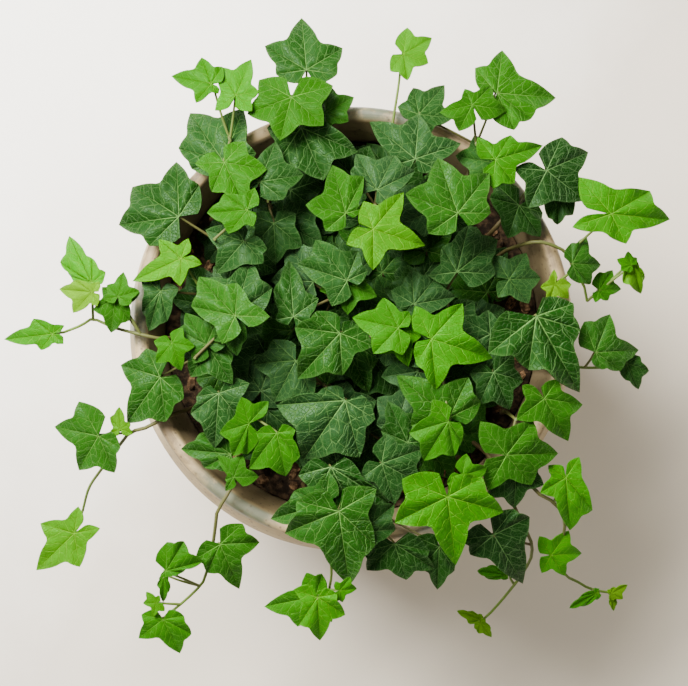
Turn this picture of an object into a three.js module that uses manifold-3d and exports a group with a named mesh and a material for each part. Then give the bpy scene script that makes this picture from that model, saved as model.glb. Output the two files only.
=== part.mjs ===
// A potted ivy: a round stoneware pot filled with soil, and leafy stems that grow from it.
// Millimetres, +Z up. The origin is at the middle of the pot's base, on the surface it stands on.
import * as THREE from 'three';
import { mergeVertices } from 'three/addons/utils/BufferGeometryUtils.js';
import Module from 'manifold-3d';

const wasm = await Module();
wasm.setup();

// Pot and soil
const POT_HEIGHT = 186;
const LIP_RADIUS = 115;
const LIP_INNER_RADIUS = 106.5;
const BELLY_RADIUS = 122;
const BELLY_DEPTH = 62;
const FOOT_RADIUS = 74;
const POT_FLOOR = 14;
const SOIL_DEPTH = 25;
const SOIL_RADIUS = 99.5;
const SOIL_UNEVENNESS = 1.8;
const FIT_GAP = 0.3;
const POT_SIDES = 36;

// Leaves and stems
const BLADE_THICKNESS = 0.8;
const LAYER_GAP = 2.4;
const STEM_RADIUS = 1.7;
const RUNNER_RADIUS = 1.15;
const PETIOLE_RADIUS = 0.75;
const PETIOLE_JOIN = 1.9;
const BLADE_POINTS = 12;
const ROOT_DEPTH = 10;
const DOME_HEIGHT = 24;
const DOME_RADIUS = 128;
const RIM_CLEARANCE = 3.2;

// Leaf positions are given as they are seen from the point EYE, measured on the plane of the pot's lip.
const EYE = { x: -10, y: -65, z: POT_HEIGHT + 1000 };

// Each leaf: base x, y, then the tips of its lobes as x, y: the middle lobe, the left and right
// side lobes, the left and right basal lobes (left as seen from the base), 0 where the lobe takes
// its usual place; then its greenness from 0, old and dark, to 1, young and lime, and its layer.
const SPRAYS = [
  {
    name: 'spray_north',
    stems: [
      {
        root: [-20, 84],
        head: [-24, 106],
        leaves: [
          [-24, 133.5, -26.6, 161, [-46, 146], [-5, 145], [-40, 131], [-8, 131], 0.45, 4],
          [-32, 119, -38, 96, [-15, 104], [-55, 110], [-10, 125], [-49, 128], 0.55, 5],
          [-27, 103, -15, 75, [3, 90], 0, 0, 0, 0.12, 2],
          [-14, 111, 1, 119, 0, [-2, 106], 0, 0, 0.2, 1],
        ],
      },
    ],
  },
  {
    name: 'spray_north_west',
    stems: [
      {
        root: [-56, 66],
        head: [-64, 96],
        leaves: [
          [-74, 126, -95, 130, [-82, 116], [-79, 140], [-70, 121], [-68, 135], 0.9, 7],
          [-61, 120, -53, 139, 0, [-49, 122], [-72, 112], 0, 0.85, 6],
          [-67.6, 85.3, -85, 110.5, [-91, 92], [-57, 113], [-84, 81], 0, 0.25, 3],
          [-67, 84.5, -56, 60.5, 0, [-73.5, 69], 0, 0, 0.55, 4],
        ],
      },
    ],
  },
  {
    name: 'spray_west_upper',
    stems: [
      {
        root: [-68, 36],
        head: [-72, 44],
        leaves: [
          [-90.6, 56, -115, 71.5, [-122, 51.5], [-92, 84.8], [-106, 40.5], [-80, 72.5], 0.42, 3],
          [-54.8, 59.5, -76, 58, [-64.7, 47], [-67, 68], [-51.7, 51], 0, 0.62, 5],
          [-56.7, 43, -71, 26, [-46.4, 31.5], [-76.7, 49], 0, 0, 0.12, 3],
        ],
      },
    ],
  },
  {
    name: 'spray_upper_middle',
    stems: [
      {
        root: [-36, 58],
        head: [-44, 64],
        leaves: [
          [-48.4, 74.3, -40, 95.5, [-57.4, 84], [-25.4, 78], [-54.9, 72], [-35.9, 65], 0.12, 3],
          [-41, 52.5, -40, 31, [-26, 40], [-52, 40], 0, 0, 0.1, 1],
        ],
      },
    ],
  },
  {
    name: 'spray_north_middle',
    stems: [
      {
        root: [12, 58],
        head: [12, 62],
        leaves: [
          [33, 86.5, 35, 110, [9, 106], [57, 94.5], 0, 0, 0.12, 2],
          [13, 70, 22.4, 88.5, [2, 89], [33, 80], [-1, 80], 0, 0.15, 3],
          [-3.4, 57.8, -10.4, 83, [-24.4, 62], [6.1, 77], [-14, 48.5], [5, 60], 0.48, 4],
          [10.9, 49.3, 38.2, 40.8, [26.9, 68.8], [10.9, 28], [6, 64], [-3, 41.5], 0.95, 8],
        ],
      },
    ],
  },
  {
    name: 'spray_north_east',
    stems: [
      {
        root: [58, 70],
        head: [65, 94],
        leaves: [
          [63, 115, 59, 123.5, [46, 111], [73, 125], [56, 101], [81, 112], 0.6, 6],
          [76, 121.3, 107, 118.7, [78.8, 144], [93.8, 107.5], [64.5, 134.5], [85, 101.7], 0.5, 5],
          [73.6, 84.5, 54, 88, 0, [64, 99], 0, 0, 0.35, 5],
          [75, 86, 100, 93.5, [83, 99], [85, 73.5], 0, 0, 0.75, 6],
          [35, 110, 48.5, 125.5, [32, 124], 0, 0, 0, 0.2, 1],
        ],
      },
    ],
  },
  {
    name: 'spray_long_petiole',
    stems: [
      {
        root: [27, 90],
        head: [21, 104],
        leaves: [
          [27, 142, 40, 137, [42, 150.5], [29, 128], [29, 156], [20, 133], 1, 1],
        ],
      },
    ],
  },
  {
    name: 'spray_east_upper',
    stems: [
      {
        root: [73, 48],
        head: [92, 70],
        leaves: [
          [101.8, 80.4, 122, 64.5, [123.8, 90], [92, 60.6], [110, 98], [85, 81.6], 0.05, 5],
          [109, 70, 107.4, 51.7, [115.6, 57], [102.3, 55.5], 0, 0, 0.15, 2],
          [87.3, 62, 81.3, 44.7, [98.4, 45.4], [72, 66], [99.7, 58], [74.5, 74], 0.15, 3],
        ],
      },
    ],
  },
  {
    name: 'spray_middle_upper',
    stems: [
      {
        root: [44, 46],
        head: [51, 50],
        leaves: [
          [55.2, 58, 44.9, 87, [27.7, 68], [71.9, 79], [40, 47], [72.5, 58], 0.65, 6],
        ],
      },
    ],
  },
  {
    name: 'spray_middle_east',
    stems: [
      {
        root: [48, 14],
        head: [49, 17],
        leaves: [
          [54.7, 27, 61, 52, [47, 40], [76, 44], 0, [75, 26], 0.1, 3],
          [32.3, 10, 45.7, 26.6, [31, 28], [54, 14], [20.3, 17.1], 0, 0.1, 1],
        ],
      },
    ],
  },
  {
    name: 'spray_east',
    stems: [
      {
        root: [76, 14],
        head: [80, 16],
        leaves: [
          [81.9, 23.1, 98.4, 23.7, [91, 37], [92, 10.4], [74, 36], [76, 13.6], 0.22, 2],
        ],
      },
    ],
  },
  {
    name: 'spray_middle',
    stems: [
      {
        root: [-12, 12],
        head: [-11, 13],
        leaves: [
          [-2.7, 22.5, -19, 44, [-28.5, 31], [3, 38], 0, [8.1, 27.5], 0.22, 4],
          [-2.7, 21.5, -2.5, 4.5, [13, 14], [-17, 17], 0, 0, 0.5, 3],
          [-30.6, 3.6, -33, 33, [-41, 18], [-17.5, 13], [-40, 2], [-22, -2], 0.15, 2],
        ],
      },
    ],
  },
  {
    name: 'spray_middle_lower',
    stems: [
      {
        root: [8, -8],
        head: [6, -6],
        leaves: [
          [-6.5, -5, -28.5, -29, [-5, -27], [-30, -2], 0, [-18.6, 6.5], 0.4, 4],
          [-6, -5.8, 8.7, -36, [13.5, -19], [-6, -26], [4, 1], 0, 0.28, 3],
          [24, -2.3, 0, 3.1, [11, -15.8], [16.3, 13.6], 0, [30, 6.1], 0.85, 7],
          [24.5, -3, 29.3, -22.5, [35.8, -6.8], 0, 0, 0, 0.85, 6],
        ],
      },
    ],
  },
  {
    name: 'spray_middle_south_east',
    stems: [
      {
        root: [46, -28],
        head: [47, -26],
        leaves: [
          [41.2, -8.1, 73.2, -18.1, [57.7, 10.4], [43.7, -34.5], [32.8, 9.1], [33.3, -21.3], 0.82, 9],
          [50.5, -49, 23, -27, [30.5, -53], [60.5, -28], 0, [67, -41], 0.45, 5],
          [50, -51, 37, -71.5, [53, -69], [29.5, -57], [57, -61.5], 0, 0.62, 6],
        ],
      },
    ],
  },
  {
    name: 'spray_east_lower',
    stems: [
      {
        root: [80, -8],
        head: [85, -6],
        leaves: [
          [95.9, 3.9, 118.4, -36, [119, -3], [91.8, -24.2], [115.5, 10.5], [71, -15.7], 0.2, 5],
          [73.5, -25.5, 82, -45, [89, -30], [66, -42], [84, -16], 0, 0.08, 1],
        ],
      },
    ],
  },
  {
    name: 'spray_south_east_upper',
    stems: [
      {
        root: [80, -46],
        head: [85, -50],
        leaves: [
          [100, -39.1, 112.3, -61.3, [119.9, -42.3], [85.4, -50.2], [107, -29], [88.6, -32.2], 0.55, 4],
          [80.1, -68.5, 107, -67.6, [94, -50.5], [93, -84], [66.5, -51], [70, -87], 0.3, 3],
        ],
      },
    ],
  },
  {
    name: 'spray_south_east',
    stems: [
      {
        root: [56, -70],
        head: [60, -76],
        leaves: [
          [49.4, -90.1, 53.5, -125.6, [78.6, -98], [22, -103.5], 0, [26, -81], 0.75, 7],
          [57.2, -79.2, 68.5, -89.5, [70, -75], [50, -87], [59.4, -67.8], 0, 0.7, 6],
          [85.2, -76.2, 84, -96, [99.5, -84], [70, -90], [97, -73], 0, 0.08, 1],
        ],
      },
    ],
  },
  {
    name: 'spray_south_upper',
    stems: [
      {
        root: [20, -60],
        head: [20, -64],
        leaves: [
          [29, -62, 18.6, -40.5, [15, -56], [33, -47], 0, 0, 0.18, 1],
          [15.3, -72.8, 35, -83, [37, -65], [22, -94], [18, -57.5], [4.5, -80.5], 0.12, 2],
        ],
      },
    ],
  },
  {
    name: 'spray_south',
    stems: [
      {
        root: [-4, -82],
        head: [-4, -88],
        leaves: [
          [-11.3, -74.5, 2, -99, [19.5, -94], [-20.5, -94], [5, -79.5], [-28, -79], 0.12, 2],
          [-7, -97.5, -1.5, -136, [12, -115], [-35, -109], 0, 0, 0.35, 5],
          [-14, -94, -42.3, -101.5, [-27, -108], [-30, -87], 0, 0, 0.45, 4],
          [4.5, -108.5, 21.8, -94, [8, -93], [22.5, -107], 0, 0, 0.12, 4],
          [21.8, -114.3, 28, -133, [42.5, -127.4], [7.4, -128], [40, -118], [6, -119], 0.15, 2],
          [45, -116, 44, -138, [53, -128], [36, -127], 0, 0, 0.2, 1],
        ],
      },
    ],
  },
  {
    name: 'spray_middle_south',
    stems: [
      {
        root: [-18, -34],
        head: [-15, -32],
        leaves: [
          [-3.8, -40, -25.3, -70.8, [3.8, -69.7], [-39.5, -42.5], [12, -49.8], [-15, -33.5], 0.15, 6],
          [-29.4, -19.3, -40.5, -41, [-20.5, -39], [-52, -21], 0, [-41.5, -8.5], 0.15, 2],
        ],
      },
    ],
  },
  {
    name: 'spray_south_west',
    stems: [
      {
        root: [-54, -44],
        head: [-57, -44],
        leaves: [
          [-69.4, -36.3, -71.5, -65, [-58, -50], [-84, -47], 0, [-81, -38], 0.12, 2],
          [-53.7, -52.2, -69, -57, [-62, -69], [-57.7, -38.3], [-54.5, -68], [-43.5, -40.5], 0.7, 6],
          [-39.3, -57.1, -34.6, -79.5, [-27.1, -69.3], [-53.5, -75.7], [-29.6, -55.4], [-50, -57], 0.66, 7],
          [-63, -68, -89, -65.3, [-77, -75], [-79, -57], [-67, -77], 0, 0.35, 1],
        ],
      },
    ],
  },
  {
    name: 'spray_west_lower',
    stems: [
      {
        root: [-78, -16],
        head: [-82, -18],
        leaves: [
          [-76, -11.3, -87, 5.5, [-91, -3], [-70, 3], 0, 0, 0.2, 3],
          [-75.5, -11.5, -62.4, -31.7, [-62, -17], [-84, -28], 0, 0, 0.25, 2],
          [-63, 1, -60, -17, [-55, -8], [-72, -9], 0, 0, 0.3, 4],
          [-100, -28, -117, -52, [-97, -51.3], [-120.5, -21.7], [-87.6, -39], [-107, -13], 0.33, 4],
        ],
      },
    ],
  },
  {
    name: 'spray_west',
    stems: [
      {
        root: [-76, 16],
        head: [-77, 15],
        leaves: [
          [-89.4, 34, -114.7, 22, [-89.7, 19.5], [-101, 44], [-78.7, 31], [-85.7, 44.5], 0.95, 6],
          [-100, 17, -106, -4, [-96.4, 1.2], [-109.5, 6], [-90.4, 18.2], 0, 0.18, 1],
          [-61, 4, -80, 24.5, [-84, 9], [-60, 21], 0, [-43, 3.6], 0.45, 5],
          [-60.5, 5, -53, 33, 0, [-41.6, 18.6], 0, 0, 0.15, 2],
        ],
      },
    ],
  },
];

// Runners: stems that reach over the lip. Their points are x, y and the height above the lip.
const RUNNERS = [
  {
    name: 'runner_west',
    points: [
      [-84, -2, -25], [-90, -6, -8], [-99, -8, 5], [-110, -5.8, 7], [-124, -2.2, 2],
      [-135, 2.2, -4], [-141, -1, -8], [-150, -4.6, -12],
    ],
    leaves: [
      [-94, -10.3, -88.9, -24.7, [-81.9, -11.8], [-102.3, -20.7], [-88.4, -2.3], [-103.3, -9.3], 0.7, 9, 2],
      [-123.7, 12.8, -125.6, -5, [-116, 1.5], [-135, 7], [-110.5, 16], [-130.5, 19], 0.5, 4, 3],
      [-122, 14, -119.3, 27, [-128, 20], [-111, 17], 0, 0, 0.6, 5, 3],
      [-135.7, 21.1, -147.8, 45.8, [-152.5, 32], [-135.8, 34.2], [-146.2, 26.3], [-129, 27], 0.6, 4, 5],
      [-135.7, 16.4, -152.8, 17.9, [-145.5, 5.4], [-144.6, 22.7], [-133, 9], [-132, 22], 1, 6, 5],
      [-156, -5.5, -181.3, -8.4, [-162, -14], [-166, 2.5], [-150.3, -10.6], [-150.3, -1], 0.85, 5, 7],
    ],
  },
  {
    name: 'runner_south_west',
    points: [
      [-76, -40, -25], [-86, -45, -6], [-96, -48.5, 5], [-107.5, -54.4, 5], [-115, -56.6, 1],
      [-120, -62.3, -6], [-130.5, -76.4, -22], [-136.5, -85.5, -36], [-139.6, -97, -52],
    ],
    leaves: [
      [-131.8, -58.5, -141.8, -76.4, [-123.3, -77.7], [-154.7, -53.8], [-120.4, -64.8], [-142.1, -40.6], 0.45, 5, 4],
      [-120.5, -55, -121.1, -43.4, [-126, -49], [-115.5, -52], 0, 0, 0.95, 4, 4],
      [-144, -109, -163.5, -128, [-141, -126.3], [-161.6, -103.8], [-130.8, -106.3], [-142, -95], 0.97, 5, 8],
    ],
  },
  {
    name: 'runner_south_west_lower',
    points: [
      [-50, -72, -25], [-56, -77, -6], [-61, -82, 4], [-64.9, -89, 7], [-69.9, -97.6, 5],
      [-70.8, -104, 1], [-72.2, -114.3, -7], [-75.7, -129.9, -18], [-78.8, -136.1, -21],
      [-88.8, -145.5, -26], [-95.7, -150.7, -29],
    ],
    leaves: [
      [-61.5, -80, -70, -68.5, [-66, -81], [-57, -68], 0, [-48.5, -79.7], 0.5, 3, 2],
      [-68.5, -114.6, -58.4, -137.7, [-48, -113.7], [-75, -129.3], [-57, -104], [-81.3, -122.4], 0.5, 4, 6],
      [-96.4, -128.4, -77.3, -123.2, [-87.2, -113], [-87.6, -129], [-96, -113.4], [-99.5, -131.5], 0.65, 5, 8],
      [-97.4, -131, -97.8, -144.5, [-94.3, -138.2], [-101, -136], [-95, -133], [-100, -132.5], 0.7, 4, 8],
      [-101.3, -144.8, -108.2, -145, [-103, -152], [-106.6, -139], [-97, -149], 0, 0.92, 6, 9],
      [-97.9, -153.2, -89, -170.7, [-83, -160.7], [-110.4, -163], [-87, -151.4], [-109, -150.7], 0.75, 4, 10],
    ],
  },
  {
    name: 'runner_south',
    points: [
      [-26, -84, -25], [-22, -93, -6], [-17, -104, 5], [-12, -116, 5], [-10.8, -129.3, -4], [-12, -138, -12],
    ],
    leaves: [
      [-19, -141.5, -45.6, -146.7, [-28.3, -157], [-24, -129.5], 0, [-15.5, -130], 0.7, 4, 5],
      [-18, -142, -16.7, -164.2, [-3.6, -151], [-27.5, -156], [-8, -140], 0, 0.75, 6, 5],
      [-6.5, -138.5, 2.4, -137.5, [-1, -131.5], [-5, -144.5], 0, 0, 0.85, 5, 5],
    ],
  },
  {
    name: 'runner_south_east_lower',
    points: [
      [62, -60, -25], [69, -67, -1], [76, -76, 6], [81, -86, 6], [84, -95, 4], [91.2, -109.8, -6], [93, -115, -12],
      [92.8, -121, -19], [89.8, -127, -26], [83.9, -135.5, -36], [73.3, -148, -48], [68, -153, -54],
    ],
    leaves: [
      [73.3, -109.8, 88.3, -135, [92, -100.5], [61, -120], 0, 0, 0.05, 4, 6],
      [80.6, -130.5, 64.6, -128.4, [70.3, -132.6], [71.3, -125.3], [78, -133], [78.6, -127.4], 0.85, 2, 9],
      [67, -153.5, 54, -149, [60, -155.3], [61, -149], [65, -156], [66, -150.5], 1, 4, 11],
      [66, -154.7, 72, -162.5, [71.6, -157.4], [65.3, -160.6], [69, -153.3], [63, -157.8], 1, 5, 11],
    ],
  },
  {
    name: 'runner_south_east',
    points: [
      [70, -50, -25], [77, -60, -1], [86, -73, 6], [91, -82, 7], [98, -89.5, 5], [104.5, -93, 1], [110, -101, -8],
      [109, -112, -19], [104.5, -122, -28], [111.3, -131.2, -40], [116.9, -134.1, -46], [124, -138, -52],
      [132.7, -139.4, -56],
    ],
    leaves: [
      [111, -80.2, 112.8, -107.5, [124.7, -97], [97.6, -88], [118, -69.5], [102, -73.8], 0.85, 5, 5],
      [103, -120.3, 118.9, -119.3, [112.3, -107.5], [110.3, -131], [97, -110.5], [98, -129.5], 0.9, 5, 8],
      [127.5, -139.2, 112.3, -147.6, [120.4, -146.5], [118, -141.5], [127, -143.2], [125.5, -137.2], 0.9, 4, 11],
      [133.9, -140.3, 142.6, -135.5, [135.5, -136.6], [140.1, -142.9], [132.4, -138], [135, -143.6], 1, 5, 12],
      [134.6, -142, 135.2, -149, [137, -145.5], [133, -145.8], [137, -142.6], [132.6, -142.4], 1, 4, 12],
    ],
  },
  {
    name: 'runner_east_lower',
    points: [
      [88, -16, -25], [95, -19, -8], [102, -21, 3], [111, -22, 5], [121, -23, 0], [130.4, -23, -6],
    ],
    leaves: [
      [126.9, -15.1, 149.4, -13.8, [134.5, 4.9], [139.9, -24.6], [121, 1], [130, -24], 0.4, 6, 4],
      [143, -20.8, 149.1, -34.4, [154.7, -24.6], [142.4, -29.5], [150, -17], 0, 0.25, 4, 5],
    ],
  },
  {
    name: 'runner_east',
    points: [
      [74, 34, -25], [80, 38, -8], [89.5, 41.5, 3], [97, 42.8, 7], [104.8, 41, 6], [112.4, 36.5, 3],
      [115.5, 28, 0], [120.7, 20.6, -4], [122.5, 11.7, -9],
    ],
    leaves: [
      [135.5, 57.5, 166.3, 54.6, [156, 69.6], [143.2, 41.7], [118.8, 76.9], [114.5, 53.2], 0.72, 8, 5],
      [115, 31.4, 130, 30.7, [122.6, 45.4], [124.5, 20.5], [114.4, 42.2], [118.5, 21], 0.42, 5, 5],
      [106, 20.5, 102.3, 10.5, [113, 13], [98.5, 19], [114.5, 20.5], [108.5, 28], 1, 4, 6],
      [129, 17.4, 140.5, 18, [136, 28], [133.5, 12], [129, 27], 0, 0.75, 4, 8],
      [146.2, 32.3, 150.8, 15.5, [153, 24.4], [141.5, 21.2], [150, 30.5], [142, 29], 0.8, 3, 8],
      [145.7, 30.7, 138.4, 33.8, [140.5, 28], [144.2, 38], [144.5, 26.5], [148.9, 34.4], 0.85, 4, 8],
    ],
  },
];

const group = new THREE.Group();

function material(name, colour, roughness) {
  const made = new THREE.MeshStandardMaterial({ color: colour, roughness, metalness: 0 });
  made.name = name;
  return made;
}

const POT_FINISH = material('stoneware', 0xcdbba4, 0.55);
const SOIL_FINISH = material('soil', 0x2c1d12, 0.95);
const LEAF_FINISH = material('leaf', 0x3f7a2c, 0.42);

// A fixed draw from 0 to 1 for a whole number.
function draw(number) {
  const spread = Math.sin(number * 12.9898 + 4.1414) * 43758.5453;
  return spread - Math.floor(spread);
}

// A point seen at x, y on the lip's plane, moved along its line of sight to the height z.
function inSpace(x, y, z) {
  const share = (EYE.z - z) / (EYE.z - POT_HEIGHT);
  return [EYE.x + (x - EYE.x) * share, EYE.y + (y - EYE.y) * share, z];
}

// The height of the foliage's rounded top over the lip, at a distance from the pot's middle.
function dome(x, y) {
  const part = Math.hypot(x, y) / DOME_RADIUS;
  return part < 1 ? DOME_HEIGHT * (1 - part * part) : -2 * DOME_HEIGHT * (part - 1);
}

// The lowest height that a leaf may have over the soil and the lip.
function leastHeight(x, y) {
  const r = Math.hypot(x, y);
  if (r < 98) {
    return POT_HEIGHT - 15 + 0.18 * Math.max(0, r - 60);
  }
  return r < 121 ? POT_HEIGHT + RIM_CLEARANCE : POT_HEIGHT + RIM_CLEARANCE - 1.1 * (r - 121);
}

const LOBE_ANGLES = [-112, -56, 0, 56, 112];
const LOBE_SHARES = [0.58, 0.86, 1, 0.86, 0.58];

// The lobes of one leaf, from the right basal lobe round to the left one: angle and length.
function lobesOf(leaf) {
  const [bx, by, tx, ty, left, right, leftBase, rightBase] = leaf;
  const heading = Math.atan2(ty - by, tx - bx);
  const length = Math.hypot(tx - bx, ty - by);
  const given = [rightBase, right, [tx, ty], left, leftBase];
  const lobes = given.map((tip, i) => {
    if (tip === 0) {
      return { turn: THREE.MathUtils.degToRad(LOBE_ANGLES[i]), length: length * LOBE_SHARES[i] };
    }
    let turn = Math.atan2(tip[1] - by, tip[0] - bx) - heading;
    turn -= 2 * Math.PI * Math.round(turn / (2 * Math.PI));
    if (i < 2 && turn > 0) {
      turn -= 2 * Math.PI;
    }
    if (i > 2 && turn < 0) {
      turn += 2 * Math.PI;
    }
    return { turn, length: Math.hypot(tip[0] - bx, tip[1] - by) };
  });
  const limit = THREE.MathUtils.degToRad(156);
  const least = THREE.MathUtils.degToRad(16);
  lobes[1].turn = Math.max(lobes[1].turn, -limit + least);
  lobes[3].turn = Math.min(lobes[3].turn, limit - least);
  lobes[0].turn = Math.max(Math.min(lobes[0].turn, lobes[1].turn - least), -limit);
  lobes[4].turn = Math.min(Math.max(lobes[4].turn, lobes[3].turn + least), limit);
  return { heading, length, lobes };
}

// The outline of a leaf in its own plane, from its base round against the clock. Each point has
// an angle from the middle vein, a length from the base, and 1 where it lies between two lobes.
function outlineOf(shape, greenness) {
  const cut = 0.82 - 0.12 * greenness;
  const points = [{ turn: 0, length: 0, between: 0 }];
  const first = shape.lobes[0];
  const last = shape.lobes[4];
  const notch = THREE.MathUtils.degToRad(172);
  points.push({ turn: Math.max(first.turn - 0.85, -notch), length: first.length * 0.5, between: 0.5 });
  shape.lobes.forEach((lobe, i) => {
    points.push({ turn: lobe.turn, length: lobe.length, between: 0 });
    if (i < 4) {
      const next = shape.lobes[i + 1];
      const gap = next.turn - lobe.turn;
      const mean = Math.min((lobe.length + next.length) / 2, 1.25 * Math.min(lobe.length, next.length));
      const depth = 1 - (1 - cut) * Math.min(1.8, (gap / 0.9) ** 2);
      points.push({ turn: (lobe.turn + next.turn) / 2, length: mean * depth, between: 1 });
    }
  });
  points.push({ turn: Math.min(last.turn + 0.85, notch), length: last.length * 0.5, between: 0.5 });
  return points;
}

// A leaf's blade as points x, y, z, where z counts from its base, before it settles.
function bladeOf(leaf, number, droop) {
  const shape = lobesOf(leaf);
  const size = Math.max(...shape.lobes.map((lobe) => lobe.length));
  const tiltTo = 2 * Math.PI * draw(number * 3 + 1);
  const tilt = 0.11 * draw(number * 3 + 2);
  const curl = 0.1 + 0.08 * draw(number * 3 + 3);
  const [bx, by] = leaf;
  const greenness = leaf[8];
  const base = dome(bx, by);
  const points = outlineOf(shape, greenness).map((point) => {
    const angle = shape.heading + point.turn;
    const x = bx + point.length * Math.cos(angle);
    const y = by + point.length * Math.sin(angle);
    const reach = point.length / size;
    const along = (point.length * Math.cos(point.turn)) / size;
    let z = dome(x, y) - base;
    z += tilt * point.length * Math.cos(angle - tiltTo);
    z -= curl * size * reach * reach;
    z += 0.085 * size * point.between * reach;
    z -= droop * size * Math.max(0, along) * along;
    return [x, y, z];
  });
  return { points, size, shape };
}

// What settles: points, edges and triangles in x, y as seen and z as a height.
function settlingBody(blade, petiole) {
  const points = blade.points.map((p) => [...p]);
  const edges = [];
  const triangles = [];
  const n = points.length;
  for (let i = 0; i < n; i += 1) {
    edges.push([i, (i + 1) % n]);
  }
  for (let i = 1; i < n - 1; i += 1) {
    triangles.push([0, i, i + 1]);
    if (i > 1) {
      edges.push([0, i]);
    }
  }
  const bladeEdges = edges.length;
  petiole.forEach((p, i) => {
    points.push([...p]);
    if (i > 0) {
      edges.push([points.length - 2, points.length - 1]);
    }
  });
  return { points, edges, triangles, bladeEdges };
}

function boundsOf(body) {
  const xs = body.points.map((p) => p[0]);
  const ys = body.points.map((p) => p[1]);
  return [Math.min(...xs), Math.max(...xs), Math.min(...ys), Math.max(...ys)];
}

function heightIn(body, triangle, x, y) {
  const [a, b, c] = triangle.map((i) => body.points[i]);
  const area = (b[0] - a[0]) * (c[1] - a[1]) - (c[0] - a[0]) * (b[1] - a[1]);
  if (Math.abs(area) < 1e-9) {
    return null;
  }
  const u = ((x - a[0]) * (c[1] - a[1]) - (c[0] - a[0]) * (y - a[1])) / area;
  const v = ((b[0] - a[0]) * (y - a[1]) - (x - a[0]) * (b[1] - a[1])) / area;
  if (u < 0 || v < 0 || u + v > 1) {
    return null;
  }
  return a[2] + u * (b[2] - a[2]) + v * (c[2] - a[2]);
}

// How far the lower body rises over the upper one where the two overlap as seen from above.
// Between leaves of one stem only the blades count, because their petioles grow together.
function overlapRise(upper, lower, bladesOnly) {
  let rise = -Infinity;
  const upperEdges = bladesOnly ? upper.edges.slice(0, upper.bladeEdges) : upper.edges;
  const lowerEdges = bladesOnly ? lower.edges.slice(0, lower.bladeEdges) : lower.edges;
  const upperPoints = bladesOnly ? upper.points.slice(0, BLADE_POINTS) : upper.points;
  const lowerPoints = bladesOnly ? lower.points.slice(0, BLADE_POINTS) : lower.points;
  upperPoints.forEach((p) => {
    lower.triangles.forEach((t) => {
      const z = heightIn(lower, t, p[0], p[1]);
      if (z !== null) {
        rise = Math.max(rise, z - p[2]);
      }
    });
  });
  lowerPoints.forEach((p) => {
    upper.triangles.forEach((t) => {
      const z = heightIn(upper, t, p[0], p[1]);
      if (z !== null) {
        rise = Math.max(rise, p[2] - z);
      }
    });
  });
  upperEdges.forEach(([i, j]) => {
    const a = upper.points[i];
    const b = upper.points[j];
    lowerEdges.forEach(([k, l]) => {
      const c = lower.points[k];
      const d = lower.points[l];
      const cross = (b[0] - a[0]) * (d[1] - c[1]) - (b[1] - a[1]) * (d[0] - c[0]);
      if (Math.abs(cross) < 1e-9) {
        return;
      }
      const s = ((c[0] - a[0]) * (d[1] - c[1]) - (c[1] - a[1]) * (d[0] - c[0])) / cross;
      const t = ((c[0] - a[0]) * (b[1] - a[1]) - (c[1] - a[1]) * (b[0] - a[0])) / cross;
      if (s < 0 || s > 1 || t < 0 || t > 1) {
        return;
      }
      rise = Math.max(rise, c[2] + t * (d[2] - c[2]) - a[2] - s * (b[2] - a[2]));
    });
  });
  return rise;
}

// The lift that keeps a body over the soil and the lip.
function floorRise(body) {
  let rise = -Infinity;
  body.edges.forEach(([i, j]) => {
    const a = body.points[i];
    const b = body.points[j];
    for (let k = 0; k <= 4; k += 1) {
      const x = a[0] + ((b[0] - a[0]) * k) / 4;
      const y = a[1] + ((b[1] - a[1]) * k) / 4;
      rise = Math.max(rise, leastHeight(x, y) - a[2] - ((b[2] - a[2]) * k) / 4);
    }
  });
  return rise;
}

// The petiole's points from under the blade's base to where it leaves the stem.
function petioleOf(leaf, shape, to) {
  const [bx, by] = leaf;
  const run = Math.hypot(to[0] - bx, to[1] - by);
  const drop = PETIOLE_JOIN + 2 + 0.3 * Math.min(run, 16);
  const start = [bx - 0.7 * Math.cos(shape.heading), by - 0.7 * Math.sin(shape.heading), -PETIOLE_JOIN];
  const middle = [bx + 0.45 * (to[0] - bx), by + 0.45 * (to[1] - by), -PETIOLE_JOIN - 0.4 * (drop - PETIOLE_JOIN)];
  return [start, middle, [to[0], to[1], -drop]];
}

function distanceToLine(p, a, b) {
  const run = [b[0] - a[0], b[1] - a[1]];
  const share = ((p[0] - a[0]) * run[0] + (p[1] - a[1]) * run[1]) / (run[0] ** 2 + run[1] ** 2);
  const part = Math.min(1, Math.max(0, share));
  return Math.hypot(p[0] - a[0] - part * run[0], p[1] - a[1] - part * run[1]);
}

const STEM_SPOTS = [
  ...SPRAYS.flatMap((spray) => spray.stems.flatMap((stem) => [stem.root, stem.head])),
  ...RUNNERS.flatMap((runner) => runner.points.slice(0, 2)),
];

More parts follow.
